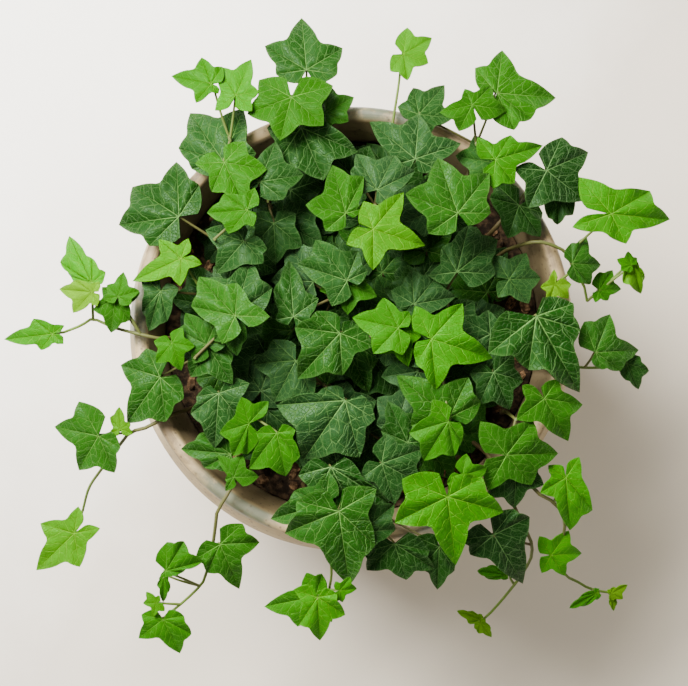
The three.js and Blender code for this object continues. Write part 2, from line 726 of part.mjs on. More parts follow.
// The small dark leaves, at most two, that grow low down on a spray's stem in the shade of the
// others, where they would reach neither another stem nor the lip.
function shadeLeaves(stem, number) {
  const grown = [];
  for (let i = 0; i < 12 && grown.length < 2; i += 1) {
    const angle = 2 * Math.PI * draw(700 + 31 * number + i);
    const turn = angle + 1.2 * (draw(1900 + 31 * number + i) - 0.5);
    const length = 19 + 7 * draw(2800 + 31 * number + i);
    const x = stem.head[0] + 13 * Math.cos(angle);
    const y = stem.head[1] + 13 * Math.sin(angle);
    const tip = [x + length * Math.cos(turn), y + length * Math.sin(turn)];
    const leaf = [x, y, ...tip, 0, 0, 0, 0, 0.1 * draw(3800 + 31 * number + i), 0];
    const outline = lobesOf(leaf).lobes.map((lobe) => lobe.turn + turn);
    const clear = STEM_SPOTS.every((spot) => {
      const own = spot === stem.root || spot === stem.head;
      const offLeaf = outline.every((lobe, k) => {
        const reach = length * LOBE_SHARES[k];
        return distanceToLine(spot, [x, y], [x + reach * Math.cos(lobe), y + reach * Math.sin(lobe)]) > 6.5;
      });
      return own || (offLeaf && distanceToLine(spot, stem.head, [x, y]) > 4);
    });
    const apart = grown.every((other) => Math.hypot(other[2] - tip[0], other[3] - tip[1]) > 26);
    if (clear && apart && Math.hypot(x, y) < 84 && Math.hypot(...tip) < 92) {
      grown.push(leaf);
    }
  }
  return grown;
}

// Every leaf with the stem that bears it, from the lowest layer to the highest.
const allLeaves = [];
SPRAYS.forEach((spray, number) => {
  spray.stems.forEach((stem) => {
    [...stem.leaves, ...shadeLeaves(stem, number)].forEach((leaf) => {
      allLeaves.push({ owner: spray.name, stem, leaf, layer: leaf[9], to: stem.head, runner: null });
    });
  });
});
RUNNERS.forEach((runner) => {
  runner.leaves.forEach((leaf) => {
    const point = runner.points[leaf[10]] ?? runner.points[runner.points.length - 1];
    allLeaves.push({ owner: runner.name, stem: null, leaf, layer: leaf[9], to: point, runner });
  });
});
allLeaves.forEach((entry, number) => {
  entry.number = number;
});

const settled = [];
RUNNERS.forEach((runner) => {
  const points = runner.points.map(([x, y, z]) => [x, y, POT_HEIGHT + z]);
  const edges = points.slice(1).map((_, i) => [i, i + 1]);
  const body = { points, edges, triangles: [], bladeEdges: 0 };
  settled.push({ body, box: boundsOf(body), owner: runner.name });
});

const inOrder = [...allLeaves].sort((a, b) => a.layer - b.layer || a.number - b.number);
inOrder.forEach((entry) => {
  const { leaf, to } = entry;
  const droop = entry.runner ? 0.16 : 0.04;
  const blade = bladeOf(leaf, entry.number, droop);
  const petiole = petioleOf(leaf, blade.shape, to);
  let height = POT_HEIGHT + 0.75 * dome(leaf[0], leaf[1]) - 13 + 1.6 * entry.layer;
  if (entry.runner) {
    height = POT_HEIGHT + to[2] + 5;
    petiole[2][2] = to[2] + POT_HEIGHT - height;
    petiole[1][2] = 0.5 * petiole[2][2] - 0.6;
  }
  const body = settlingBody(blade, petiole);
  body.points.forEach((p) => {
    p[2] += height;
  });
  const box = boundsOf(body);
  let lift = 0;
  if (!entry.runner || to[2] > -4) {
    lift = Math.max(0, floorRise(body));
  }
  settled.forEach((other) => {
    if (other.box[0] > box[1] || other.box[1] < box[0] || other.box[2] > box[3] || other.box[3] < box[2]) {
      return;
    }
    lift = Math.max(lift, overlapRise(body, other.body, other.owner === entry.owner) + LAYER_GAP);
  });
  if (entry.runner) {
    const kept = body.points.length - 1;
    body.points.forEach((p, i) => {
      p[2] += i === kept ? 0 : lift * (i === kept - 1 ? 0.5 : 1);
    });
  } else {
    body.points.forEach((p) => {
      p[2] += lift;
    });
  }
  const count = blade.points.length;
  entry.heading = blade.shape.heading;
  entry.blade = body.points.slice(0, count);
  entry.petiole = body.points.slice(count);
  settled.push({ body, box, owner: entry.owner });
});

// Solids

function solidOf(vertices, faces) {
  const mesh = new wasm.Mesh({
    numProp: 3,
    vertProperties: new Float32Array(vertices.flat()),
    triVerts: new Uint32Array(faces.flat()),
  });
  return new wasm.Manifold(mesh);
}

// A blade with its petiole as one solid. The petiole leaves the blade's base, turns down and
// runs to its stem.
function leafSolid(entry) {
  const outline = entry.blade.map(([x, y, z]) => new THREE.Vector3(...inSpace(x, y, z)));
  const base = outline[0];
  const forward = new THREE.Vector3(Math.cos(entry.heading), Math.sin(entry.heading), 0);
  const left = new THREE.Vector3(-forward.y, forward.x, 0);
  const half = 0.75 * PETIOLE_RADIUS;
  const top = [base.clone().addScaledVector(left, -half), ...outline.slice(1)];
  top.push(base.clone().addScaledVector(left, half));
  const n = top.length;
  const tip = (n - 1) / 2;
  const vertices = top.map((p) => [p.x, p.y, p.z]);
  top.forEach((p) => vertices.push([p.x, p.y, p.z - BLADE_THICKNESS]));
  const faces = [];
  const addSheet = (a, b, c) => {
    faces.push([a, b, c]);
    faces.push([n + a, n + c, n + b]);
  };
  const middle = Math.floor(tip);
  for (let i = 1; i < middle; i += 1) {
    addSheet(0, i, i + 1);
  }
  addSheet(0, middle, n - 1);
  for (let i = middle; i < n - 2; i += 1) {
    addSheet(n - 1, i, i + 1);
  }
  for (let i = 0; i < n - 1; i += 1) {
    faces.push([i, n + i, n + i + 1]);
    faces.push([i, n + i + 1, i + 1]);
  }
  let ring = [0, n - 1, 2 * n - 1, n];
  const path = entry.petiole.map(([x, y, z]) => new THREE.Vector3(...inSpace(x, y, z)));
  const side = left.clone();
  path.forEach((p, i) => {
    const along = new THREE.Vector3(0, 0, -1);
    if (i > 0) {
      along.copy(p).sub(path[i - 1]).normalize();
      side.addScaledVector(along, -side.dot(along)).normalize();
    }
    const up = side.clone().cross(along);
    const wide = PETIOLE_RADIUS * (i === 0 ? 0.75 : 0.8);
    const start = vertices.length;
    [[-1, 1], [1, 1], [1, -1], [-1, -1]].forEach(([s, u]) => {
      const corner = p.clone().addScaledVector(side, s * wide).addScaledVector(up, u * wide);
      vertices.push([corner.x, corner.y, corner.z]);
    });
    const next = [start, start + 1, start + 2, start + 3];
    for (let k = 0; k < 4; k += 1) {
      const m = (k + 1) % 4;
      faces.push([ring[k], ring[m], next[m]]);
      faces.push([ring[k], next[m], next[k]]);
    }
    ring = next;
  });
  faces.push([ring[0], ring[1], ring[2]]);
  faces.push([ring[0], ring[2], ring[3]]);
  return solidOf(vertices, faces);
}

// A closed tube through points, with a radius at each of them.
function tubeSolid(points, radii, sides) {
  const path = points.map((p) => new THREE.Vector3(...p));
  const vertices = [];
  let side = null;
  path.forEach((p, i) => {
    const before = path[Math.max(0, i - 1)];
    const after = path[Math.min(path.length - 1, i + 1)];
    const along = after.clone().sub(before).normalize();
    if (side === null) {
      const helper = Math.abs(along.z) > 0.9 ? new THREE.Vector3(1, 0, 0) : new THREE.Vector3(0, 0, 1);
      side = helper.clone().cross(along).normalize();
    }
    side.sub(along.clone().multiplyScalar(side.dot(along))).normalize();
    const up = along.clone().cross(side);
    for (let k = 0; k < sides; k += 1) {
      const angle = (2 * Math.PI * (k + 0.5)) / sides;
      const spot = p.clone();
      spot.addScaledVector(side, radii[i] * Math.cos(angle));
      spot.addScaledVector(up, radii[i] * Math.sin(angle));
      vertices.push([spot.x, spot.y, spot.z]);
    }
  });
  const faces = [];
  for (let i = 0; i < path.length - 1; i += 1) {
    for (let k = 0; k < sides; k += 1) {
      const a = i * sides + k;
      const b = i * sides + ((k + 1) % sides);
      faces.push([a, b, b + sides]);
      faces.push([a, b + sides, a + sides]);
    }
  }
  const end = (path.length - 1) * sides;
  for (let k = 1; k < sides - 1; k += 1) {
    faces.push([0, k + 1, k]);
    faces.push([end, end + k, end + k + 1]);
  }
  return solidOf(vertices, faces);
}

function soilTop(x, y) {
  const wave = Math.sin(0.11 * x + 1.3) * Math.cos(0.09 * y - 0.4) + 0.6 * Math.sin(0.23 * x - 0.19 * y);
  return POT_HEIGHT - SOIL_DEPTH + 0.55 * SOIL_UNEVENNESS * wave;
}

// The stem of a spray: out of its hole, over the lip where its head lies outside, then up to
// its highest petiole.
function stemPoints(stem, entries) {
  const heights = entries.map((entry) => entry.petiole[2][2]);
  const low = Math.min(...heights) - 1.5;
  const high = Math.max(...heights) + 1.2;
  const [rx, ry] = stem.root;
  const ground = soilTop(rx, ry);
  const top = inSpace(stem.head[0], stem.head[1], low);
  const rootReach = Math.hypot(rx, ry);
  const headReach = Math.hypot(top[0], top[1]);
  let part = 0.35;
  let bend = ground + 0.55 * (low - ground);
  if (headReach > 93) {
    part = Math.max(0.05, (89 - rootReach) / (headReach - rootReach));
    bend = Math.min(low - 1, POT_HEIGHT + 1);
  }
  return [
    [rx, ry, ground - ROOT_DEPTH],
    [rx, ry, ground + 2],
    [rx + part * (top[0] - rx), ry + part * (top[1] - ry), bend],
    top,
    inSpace(stem.head[0], stem.head[1], high),
  ];
}

const stemHoles = [];

function addNode(name, solid, finish) {
  const mesh = solid.getMesh();
  const geometry = new THREE.BufferGeometry();
  const step = mesh.numProp;
  const count = mesh.vertProperties.length / step;
  const positions = new Float32Array(count * 3);
  for (let i = 0; i < count; i += 1) {
    positions[3 * i] = mesh.vertProperties[i * step];
    positions[3 * i + 1] = mesh.vertProperties[i * step + 1];
    positions[3 * i + 2] = mesh.vertProperties[i * step + 2];
  }
  geometry.setAttribute('position', new THREE.BufferAttribute(positions, 3));
  geometry.setIndex(new THREE.BufferAttribute(new Uint32Array(mesh.triVerts), 1));
  const node = new THREE.Mesh(geometry, finish.clone());
  node.name = name;
  group.add(node);
}

function fuse(solids) {
  return solids.slice(1).reduce((whole, solid) => whole.add(solid), solids[0]);
}

SPRAYS.forEach((spray) => {
  const solids = [];
  spray.stems.forEach((stem) => {
    const entries = allLeaves.filter((entry) => entry.stem === stem);
    const points = stemPoints(stem, entries);
    const radii = points.map((_, i) => (i < 2 ? STEM_RADIUS : STEM_RADIUS - 0.18 * (i - 1)));
    solids.push(tubeSolid(points, radii, 5));
    stemHoles.push({ x: stem.root[0], y: stem.root[1], radius: STEM_RADIUS, sides: 5 });
    entries.forEach((entry) => solids.push(leafSolid(entry)));
  });
  addNode(spray.name, fuse(solids), LEAF_FINISH);
});

RUNNERS.forEach((runner) => {
  const [rx, ry] = runner.points[0];
  const ground = soilTop(rx, ry);
  const path = [[rx, ry, ground - ROOT_DEPTH], [rx, ry, ground + 2]];
  runner.points.slice(1).forEach(([x, y, z]) => path.push(inSpace(x, y, POT_HEIGHT + z)));
  const radii = path.map((_, i) => RUNNER_RADIUS * (1 - (0.4 * i) / path.length));
  const solids = [tubeSolid(path, radii, 5)];
  stemHoles.push({ x: rx, y: ry, radius: RUNNER_RADIUS, sides: 5 });
  allLeaves.filter((entry) => entry.runner === runner).forEach((entry) => solids.push(leafSolid(entry)));
  addNode(runner.name, fuse(solids), LEAF_FINISH);
});

function latheSolid(profile) {
  const lathe = new THREE.LatheGeometry(profile.map(([r, z]) => new THREE.Vector2(r, z)), POT_SIDES);
  lathe.rotateX(Math.PI / 2);
  lathe.deleteAttribute('normal');
  lathe.deleteAttribute('uv');
  const merged = mergeVertices(lathe, 1e-4);
  const position = merged.attributes.position;
  const index = merged.index.array;
  const faces = [];
  for (let i = 0; i < index.length; i += 3) {
    const face = [index[i], index[i + 1], index[i + 2]];
    if (new Set(face).size === 3) {
      faces.push(face);
    }
  }
  const vertices = [];
  for (let i = 0; i < position.count; i += 1) {
    vertices.push([position.getX(i), position.getY(i), position.getZ(i)]);
  }
  let volume = 0;
  faces.forEach(([a, b, c]) => {
    const corner = new THREE.Vector3(...vertices[a]);
    const span = new THREE.Vector3(...vertices[b]).cross(new THREE.Vector3(...vertices[c]));
    volume += corner.dot(span) / 6;
  });
  return solidOf(vertices, volume > 0 ? faces : faces.map(([a, b, c]) => [a, c, b]));
}

// The pot's inner wall from the lip down, which the soil fills with a small gap.
const INNER_WALL = [
  [LIP_INNER_RADIUS, POT_HEIGHT - 3],
  [102, POT_HEIGHT - 13],
  [SOIL_RADIUS, POT_HEIGHT - SOIL_DEPTH + 4],
  [SOIL_RADIUS, POT_HEIGHT - SOIL_DEPTH - 8],
  [104, POT_HEIGHT - 58],
  [86, 48],
  [62, POT_FLOOR],
];

const potProfile = [
  [0, 0],
  [FOOT_RADIUS, 0],
  [FOOT_RADIUS + 3, 3],
  [93, 38],
  [113, 82],
  [BELLY_RADIUS, POT_HEIGHT - BELLY_DEPTH],
  [120, POT_HEIGHT - 34],
  [114.2, POT_HEIGHT - 18],
  [113.4, POT_HEIGHT - 10],
  [LIP_RADIUS, POT_HEIGHT - 5],
  [LIP_RADIUS - 0.8, POT_HEIGHT - 1.4],
  [LIP_RADIUS - 3.4, POT_HEIGHT],
  [LIP_INNER_RADIUS + 1.6, POT_HEIGHT - 0.6],
  ...INNER_WALL,
  [0, POT_FLOOR],
];
addNode('pot', latheSolid(potProfile), POT_FINISH);

// The soil's solid: the inside of the pot up to an uneven top, less a hole for each stem.
function soilSolid() {
  const rings = [0.5, 1];
  const wall = INNER_WALL.slice(3).map(([r, z]) => [r - FIT_GAP, z]);
  wall[wall.length - 1][1] += FIT_GAP;
  const edge = SOIL_RADIUS - FIT_GAP;
  const vertices = [[0, 0, soilTop(0, 0)]];
  const ringAt = (radius, height) => {
    const start = vertices.length;
    for (let k = 0; k < POT_SIDES; k += 1) {
      const angle = (2 * Math.PI * k) / POT_SIDES;
      const x = radius * Math.cos(angle);
      const y = radius * Math.sin(angle);
      vertices.push([x, y, height ?? soilTop(x, y)]);
    }
    return start;
  };
  const starts = rings.map((part) => ringAt(edge * part, null));
  wall.forEach(([r, z]) => starts.push(ringAt(r, z)));
  const bottom = vertices.length;
  vertices.push([0, 0, POT_FLOOR + FIT_GAP]);
  const faces = [];
  for (let k = 0; k < POT_SIDES; k += 1) {
    const j = (k + 1) % POT_SIDES;
    faces.push([0, starts[0] + k, starts[0] + j]);
    for (let i = 0; i < starts.length - 1; i += 1) {
      faces.push([starts[i] + k, starts[i + 1] + k, starts[i + 1] + j]);
      faces.push([starts[i] + k, starts[i + 1] + j, starts[i] + j]);
    }
    const last = starts[starts.length - 1];
    faces.push([bottom, last + j, last + k]);
  }
  let soil = solidOf(vertices, faces);
  stemHoles.forEach(({ x, y, radius, sides }) => {
    const ground = soilTop(x, y);
    const wide = radius + FIT_GAP / Math.cos(Math.PI / sides);
    const hole = tubeSolid(
      [[x, y, ground - ROOT_DEPTH - FIT_GAP], [x, y, ground + 6]],
      [wide, wide],
      sides,
    );
    soil = soil.subtract(hole);
  });
  return soil;
}
addNode('soil', soilSolid(), SOIL_FINISH);

export default group;
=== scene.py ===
"""A potted ivy in a studio: a round stoneware pot of soil with leafy stems and runners.

Plans are in millimetres and meshes in metres, +Z up, with the origin at the middle of the pot's
base. A leaf's plan is where it is seen from EYE, on the level of the pot's lip.
"""
import logging
import math
import random
from contextlib import contextmanager
from dataclasses import dataclass, field
from enum import Enum
from typing import Iterator, NamedTuple, Optional, Sequence, Union

import bpy
import numpy as np
from mathutils import Matrix, Vector, noise


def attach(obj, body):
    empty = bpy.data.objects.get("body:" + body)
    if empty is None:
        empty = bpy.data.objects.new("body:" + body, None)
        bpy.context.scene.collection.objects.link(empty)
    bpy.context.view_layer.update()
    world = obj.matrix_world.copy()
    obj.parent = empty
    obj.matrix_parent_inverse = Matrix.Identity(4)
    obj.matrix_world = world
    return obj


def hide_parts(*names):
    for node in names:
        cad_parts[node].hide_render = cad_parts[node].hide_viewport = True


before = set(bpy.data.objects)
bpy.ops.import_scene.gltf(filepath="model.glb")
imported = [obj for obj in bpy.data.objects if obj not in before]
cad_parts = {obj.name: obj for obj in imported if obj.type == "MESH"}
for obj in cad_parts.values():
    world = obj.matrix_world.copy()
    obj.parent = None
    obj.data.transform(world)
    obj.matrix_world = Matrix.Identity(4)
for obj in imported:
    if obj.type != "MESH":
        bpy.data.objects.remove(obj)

LOG = logging.getLogger("potted_ivy")
MM = 0.001
BODY = "root"

# The pot and its soil, and the camera's place and aim.
POT_HEIGHT = 186.0
SOIL_DEPTH = 25.0
SOIL_UNEVENNESS = 1.8
EYE = (-10.0, -65.0, POT_HEIGHT + 1000.0)
AIM = (-4.3, -10.2, POT_HEIGHT)

# The foliage's rounded top, and how low leaves may lie in the pot, on the lip and past it.
DOME_HEIGHT = 24.0
DOME_RADIUS = 128.0
WELL_DEPTH = 15.0
WELL_RADIUS = 98.0
WELL_FLAT_RADIUS = 60.0
WELL_SLOPE = 0.18
RIM_CLEARANCE = 3.2
DRAPE_RADIUS = 121.0
DRAPE_SLOPE = 1.1
CANOPY_SINK = 13.0
LAYER_GAP = 2.4
LAYER_STEP = 1.6
RUNNER_LEAF_RISE = 5.0

# Stems, runners and petioles.
STEM_RADIUS = 1.7
RUNNER_RADIUS = 1.15
PETIOLE_RADIUS = 0.75
PETIOLE_JOIN = 1.9
ROOT_DEPTH = 10.0

# A leaf's usual lobes, and how far a blade tilts, curls and droops for its length.
LOBE_TURNS = (-112.0, -56.0, 0.0, 56.0, 112.0)
LOBE_SHARES = (0.58, 0.86, 1.0, 0.86, 0.58)
LOBE_LIMIT = math.radians(156)
LOBE_SPACE = math.radians(16)
NOTCH_LIMIT = math.radians(172)
SHOULDER_TURN = 0.85
BLADE_POINTS = 12
MOST_TILT = 0.11
LEAST_CURL = 0.1
MORE_CURL = 0.08
SPRAY_DROOP = 0.04
RUNNER_DROOP = 0.16

# Leaves in the shade: two on a stem at most, and more of them close to the soil.
SHADE_LEAVES = 2
SHADE_TRIES = 12
SHADE_REACH = 13.0
SHADE_SPACE = 26.0
SHADE_BASE_LIMIT = 84.0
SHADE_TIP_LIMIT = 92.0
STEM_CLEARANCE = 4.0
LOBE_CLEARANCE = 6.5
LOW_LEAVES = 130
LOW_RADIUS = 87.0
LOW_WALL_RADIUS = 66.0
LOW_TIP_LIMIT = 97.5
LOW_LEVELS = 3
LOW_LEVEL_STEP = 2.2
GOLDEN_ANGLE = 2.39996
BARE_SOIL = (-46.0, -84.0)
BARE_SOIL_RADIUS = 20.0

Point = tuple[float, float]
Point3 = tuple[float, float, float]
Box = tuple[float, float, float, float]
Colour = tuple[float, float, float]
Tones = tuple[tuple[float, Colour], ...]
Socket = bpy.types.NodeSocket
Value = Union[float, Socket]


class Leaf(NamedTuple):
    """A leaf: its youth and layer, and in plan its base and its lobes' tips, None where usual.

    The joint is the number of the point on a runner's course that the leaf grows from.
    """

    youth: float
    layer: int
    base: Point
    tip: Point
    left: Optional[Point] = None
    right: Optional[Point] = None
    left_base: Optional[Point] = None
    right_base: Optional[Point] = None
    joint: int = 0


class Shoot(NamedTuple):
    """A leafy stem: its node, root, head and leaves, and its course where it is a runner."""

    name: str
    root: Point
    head: Point
    leaves: tuple[Leaf, ...]
    course: tuple[Point3, ...] = ()


# Youth sets each leaf's green, from dark to lime; for some leaves in these tables it was also
# raised or lowered to stand for the light or shade on them, which is painted light.
SPRAYS: tuple[Shoot, ...] = (
    Shoot("spray_north", (-20, 84), (-24, 106), (
        Leaf(0.24, 4, (-24, 133.5), (-26.6, 161), (-46, 146), (-5, 145), (-40, 131), (-8, 131)),
        Leaf(0.55, 5, (-32, 119), (-38, 96), (-15, 104), (-55, 110), (-10, 125), (-49, 128)),
        Leaf(0.12, 2, (-27, 103), (-15, 75), (3, 90)),
        Leaf(0.45, 1, (-14, 111), (1, 119), None, (-2, 106)),
    )),
    Shoot("spray_north_west", (-56, 66), (-64, 96), (
        Leaf(0.82, 7, (-74, 126), (-95, 130), (-82, 116), (-79, 140), (-70, 121), (-68, 135)),
        Leaf(0.85, 6, (-61, 120), (-53, 139), None, (-49, 122), (-72, 112)),
        Leaf(0.25, 3, (-67.6, 85.3), (-85, 110.5), (-91, 92), (-57, 113), (-84, 81)),
        Leaf(0.55, 4, (-67, 84.5), (-56, 60.5), None, (-73.5, 69)),
    )),
    Shoot("spray_west_upper", (-68, 36), (-72, 44), (
        Leaf(0.2, 3, (-90.6, 56), (-115, 71.5), (-122, 51.5), (-92, 84.8), (-106, 40.5),
             (-80, 72.5)),
        Leaf(0.62, 5, (-54.8, 59.5), (-76, 58), (-64.7, 47), (-67, 68), (-51.7, 51)),
        Leaf(0.12, 3, (-56.7, 43), (-71, 26), (-46.4, 31.5), (-76.7, 49)),
    )),
    Shoot("spray_upper_middle", (-36, 58), (-44, 64), (
        Leaf(0.12, 3, (-48.4, 74.3), (-40, 95.5), (-57.4, 84), (-25.4, 78), (-54.9, 72),
             (-35.9, 65)),
        Leaf(0.1, 1, (-41, 52.5), (-40, 31), (-26, 40), (-52, 40)),
    )),
    Shoot("spray_north_middle", (12, 58), (12, 62), (
        Leaf(0.12, 2, (33, 86.5), (35, 110), (9, 106), (57, 94.5)),
        Leaf(0.15, 3, (13, 70), (22.4, 88.5), (2, 89), (33, 80), (-1, 80)),
        Leaf(0.48, 4, (-3.4, 57.8), (-10.4, 83), (-24.4, 62), (6.1, 77), (-14, 48.5), (5, 60)),
        Leaf(0.95, 8, (10.9, 49.3), (38.2, 40.8), (26.9, 68.8), (10.9, 28), (6, 64), (-3, 41.5)),
    )),
    Shoot("spray_north_east", (58, 70), (65, 94), (
        Leaf(0.6, 6, (63, 115), (59, 123.5), (46, 111), (73, 125), (56, 101), (81, 112)),
        Leaf(0.5, 5, (76, 121.3), (107, 118.7), (78.8, 144), (93.8, 107.5), (64.5, 134.5),
             (85, 101.7)),
        Leaf(0.35, 5, (73.6, 84.5), (54, 88), None, (64, 99)),
        Leaf(0.75, 6, (75, 86), (100, 93.5), (83, 99), (85, 73.5)),
        Leaf(0.2, 1, (35, 110), (48.5, 125.5), (32, 124)),
    )),
    Shoot("spray_long_petiole", (27, 90), (21, 104), (
        Leaf(1, 1, (27, 142), (40, 137), (42, 150.5), (29, 128), (29, 156), (20, 133)),
    )),
    Shoot("spray_east_upper", (73, 48), (92, 70), (
        Leaf(0.05, 5, (101.8, 80.4), (122, 64.5), (123.8, 90), (92, 60.6), (110, 98), (85, 81.6)),
        Leaf(0.15, 2, (109, 70), (107.4, 51.7), (115.6, 57), (102.3, 55.5)),
        Leaf(0.15, 3, (87.3, 62), (81.3, 44.7), (98.4, 45.4), (72, 66), (99.7, 58), (74.5, 74)),
    )),
    Shoot("spray_middle_upper", (44, 46), (51, 50), (
        Leaf(0.45, 6, (55.2, 58), (44.9, 87), (27.7, 68), (71.9, 79), (40, 47), (72.5, 58)),
    )),
    Shoot("spray_middle_east", (48, 14), (49, 17), (
        Leaf(0.1, 3, (54.7, 27), (61, 52), (47, 40), (76, 44), None, (75, 26)),
        Leaf(0.1, 1, (32.3, 10), (45.7, 26.6), (31, 28), (54, 14), (20.3, 17.1)),
    )),
    Shoot("spray_east", (76, 14), (80, 16), (
        Leaf(0.22, 2, (81.9, 23.1), (98.4, 23.7), (91, 37), (92, 10.4), (74, 36), (76, 13.6)),
    )),
    Shoot("spray_middle", (-12, 12), (-11, 13), (
        Leaf(0.22, 4, (-2.7, 22.5), (-19, 44), (-28.5, 31), (3, 38), None, (8.1, 27.5)),
        Leaf(0.5, 3, (-2.7, 21.5), (-2.5, 4.5), (13, 14), (-17, 17)),
        Leaf(0.15, 2, (-30.6, 3.6), (-33, 33), (-41, 18), (-17.5, 13), (-40, 2), (-22, -2)),
    )),
    Shoot("spray_middle_lower", (8, -8), (6, -6), (
        Leaf(0.3, 4, (-6.5, -5), (-28.5, -29), (-5, -27), (-30, -2), None, (-18.6, 6.5)),
        Leaf(0.28, 3, (-6, -5.8), (8.7, -36), (13.5, -19), (-6, -26), (4, 1)),
        Leaf(0.7, 7, (24, -2.3), (0, 3.1), (11, -15.8), (16.3, 13.6), None, (30, 6.1)),
        Leaf(0.85, 6, (24.5, -3), (29.3, -22.5), (35.8, -6.8)),
    )),
    Shoot("spray_middle_south_east", (46, -28), (47, -26), (
        Leaf(0.82, 9, (41.2, -8.1), (73.2, -18.1), (57.7, 10.4), (43.7, -34.5), (32.8, 9.1),
             (33.3, -21.3)),
        Leaf(0.45, 5, (50.5, -49), (23, -27), (30.5, -53), (60.5, -28), None, (67, -41)),
        Leaf(0.62, 6, (50, -51), (37, -71.5), (53, -69), (29.5, -57), (57, -61.5)),
    )),
    Shoot("spray_east_lower", (80, -8), (85, -6), (
        Leaf(0.2, 5, (95.9, 3.9), (118.4, -36), (119, -3), (91.8, -24.2), (115.5, 10.5),
             (71, -15.7)),
        Leaf(0.08, 1, (73.5, -25.5), (82, -45), (89, -30), (66, -42), (84, -16)),
    )),
    Shoot("spray_south_east_upper", (80, -46), (85, -50), (
        Leaf(0.55, 4, (100, -39.1), (112.3, -61.3), (119.9, -42.3), (85.4, -50.2), (107, -29),
             (88.6, -32.2)),
        Leaf(0.5, 3, (80.1, -68.5), (107, -67.6), (94, -50.5), (93, -84), (66.5, -51), (70, -87)),
    )),
    Shoot("spray_south_east", (56, -70), (60, -76), (
        Leaf(0.85, 7, (49.4, -90.1), (53.5, -125.6), (78.6, -98), (22, -103.5), None, (26, -81)),
        Leaf(0.7, 6, (57.2, -79.2), (68.5, -89.5), (70, -75), (50, -87), (59.4, -67.8)),
        Leaf(0.08, 1, (85.2, -76.2), (84, -96), (99.5, -84), (70, -90), (97, -73)),
    )),
    Shoot("spray_south_upper", (20, -60), (20, -64), (
        Leaf(0.18, 1, (29, -62), (18.6, -40.5), (15, -56), (33, -47)),
        Leaf(0.12, 2, (15.3, -72.8), (35, -83), (37, -65), (22, -94), (18, -57.5), (4.5, -80.5)),
    )),
    Shoot("spray_south", (-4, -82), (-4, -88), (
        Leaf(0.12, 2, (-11.3, -74.5), (2, -99), (19.5, -94), (-20.5, -94), (5, -79.5), (-28, -79)),
        Leaf(0.35, 5, (-7, -97.5), (-1.5, -136), (12, -115), (-35, -109)),
        Leaf(0.32, 4, (-14, -94), (-42.3, -101.5), (-27, -108), (-30, -87)),
        Leaf(0.12, 4, (4.5, -108.5), (21.8, -94), (8, -93), (22.5, -107)),
        Leaf(0.15, 2, (21.8, -114.3), (28, -133), (42.5, -127.4), (7.4, -128), (40, -118),
             (6, -119)),
        Leaf(0.2, 1, (45, -116), (44, -138), (53, -128), (36, -127)),
    )),
    Shoot("spray_middle_south", (-18, -34), (-15, -32), (
        Leaf(0.15, 6, (-3.8, -40), (-25.3, -70.8), (3.8, -69.7), (-39.5, -42.5), (12, -49.8),
             (-15, -33.5)),
        Leaf(0.15, 2, (-29.4, -19.3), (-40.5, -41), (-20.5, -39), (-52, -21), None, (-41.5, -8.5)),
    )),
    Shoot("spray_south_west", (-54, -44), (-57, -44), (
        Leaf(0.12, 2, (-69.4, -36.3), (-71.5, -65), (-58, -50), (-84, -47), None, (-81, -38)),
        Leaf(0.7, 6, (-53.7, -52.2), (-69, -57), (-62, -69), (-57.7, -38.3), (-54.5, -68),
             (-43.5, -40.5)),
        Leaf(0.66, 7, (-39.3, -57.1), (-34.6, -79.5), (-27.1, -69.3), (-53.5, -75.7),
             (-29.6, -55.4), (-50, -57)),
        Leaf(0.35, 1, (-63, -68), (-89, -65.3), (-77, -75), (-79, -57), (-67, -77)),
    )),
    Shoot("spray_west_lower", (-78, -16), (-82, -18), (
        Leaf(0.35, 3, (-76, -11.3), (-87, 5.5), (-91, -3), (-70, 3)),
        Leaf(0.25, 2, (-75.5, -11.5), (-62.4, -31.7), (-62, -17), (-84, -28)),
        Leaf(0.3, 4, (-63, 1), (-60, -17), (-55, -8), (-72, -9)),
        Leaf(0.33, 4, (-100, -28), (-117, -52), (-97, -51.3), (-120.5, -21.7), (-87.6, -39),
             (-107, -13)),
    )),
    Shoot("spray_west", (-76, 16), (-77, 15), (
        Leaf(0.95, 6, (-89.4, 34), (-114.7, 22), (-89.7, 19.5), (-101, 44), (-78.7, 31),
             (-85.7, 44.5)),
        Leaf(0.18, 1, (-100, 17), (-106, -4), (-96.4, 1.2), (-109.5, 6), (-90.4, 18.2)),
        Leaf(0.45, 5, (-61, 4), (-80, 24.5), (-84, 9), (-60, 21), None, (-43, 3.6)),
        Leaf(0.15, 2, (-60.5, 5), (-53, 33), None, (-41.6, 18.6)),
    )),
)

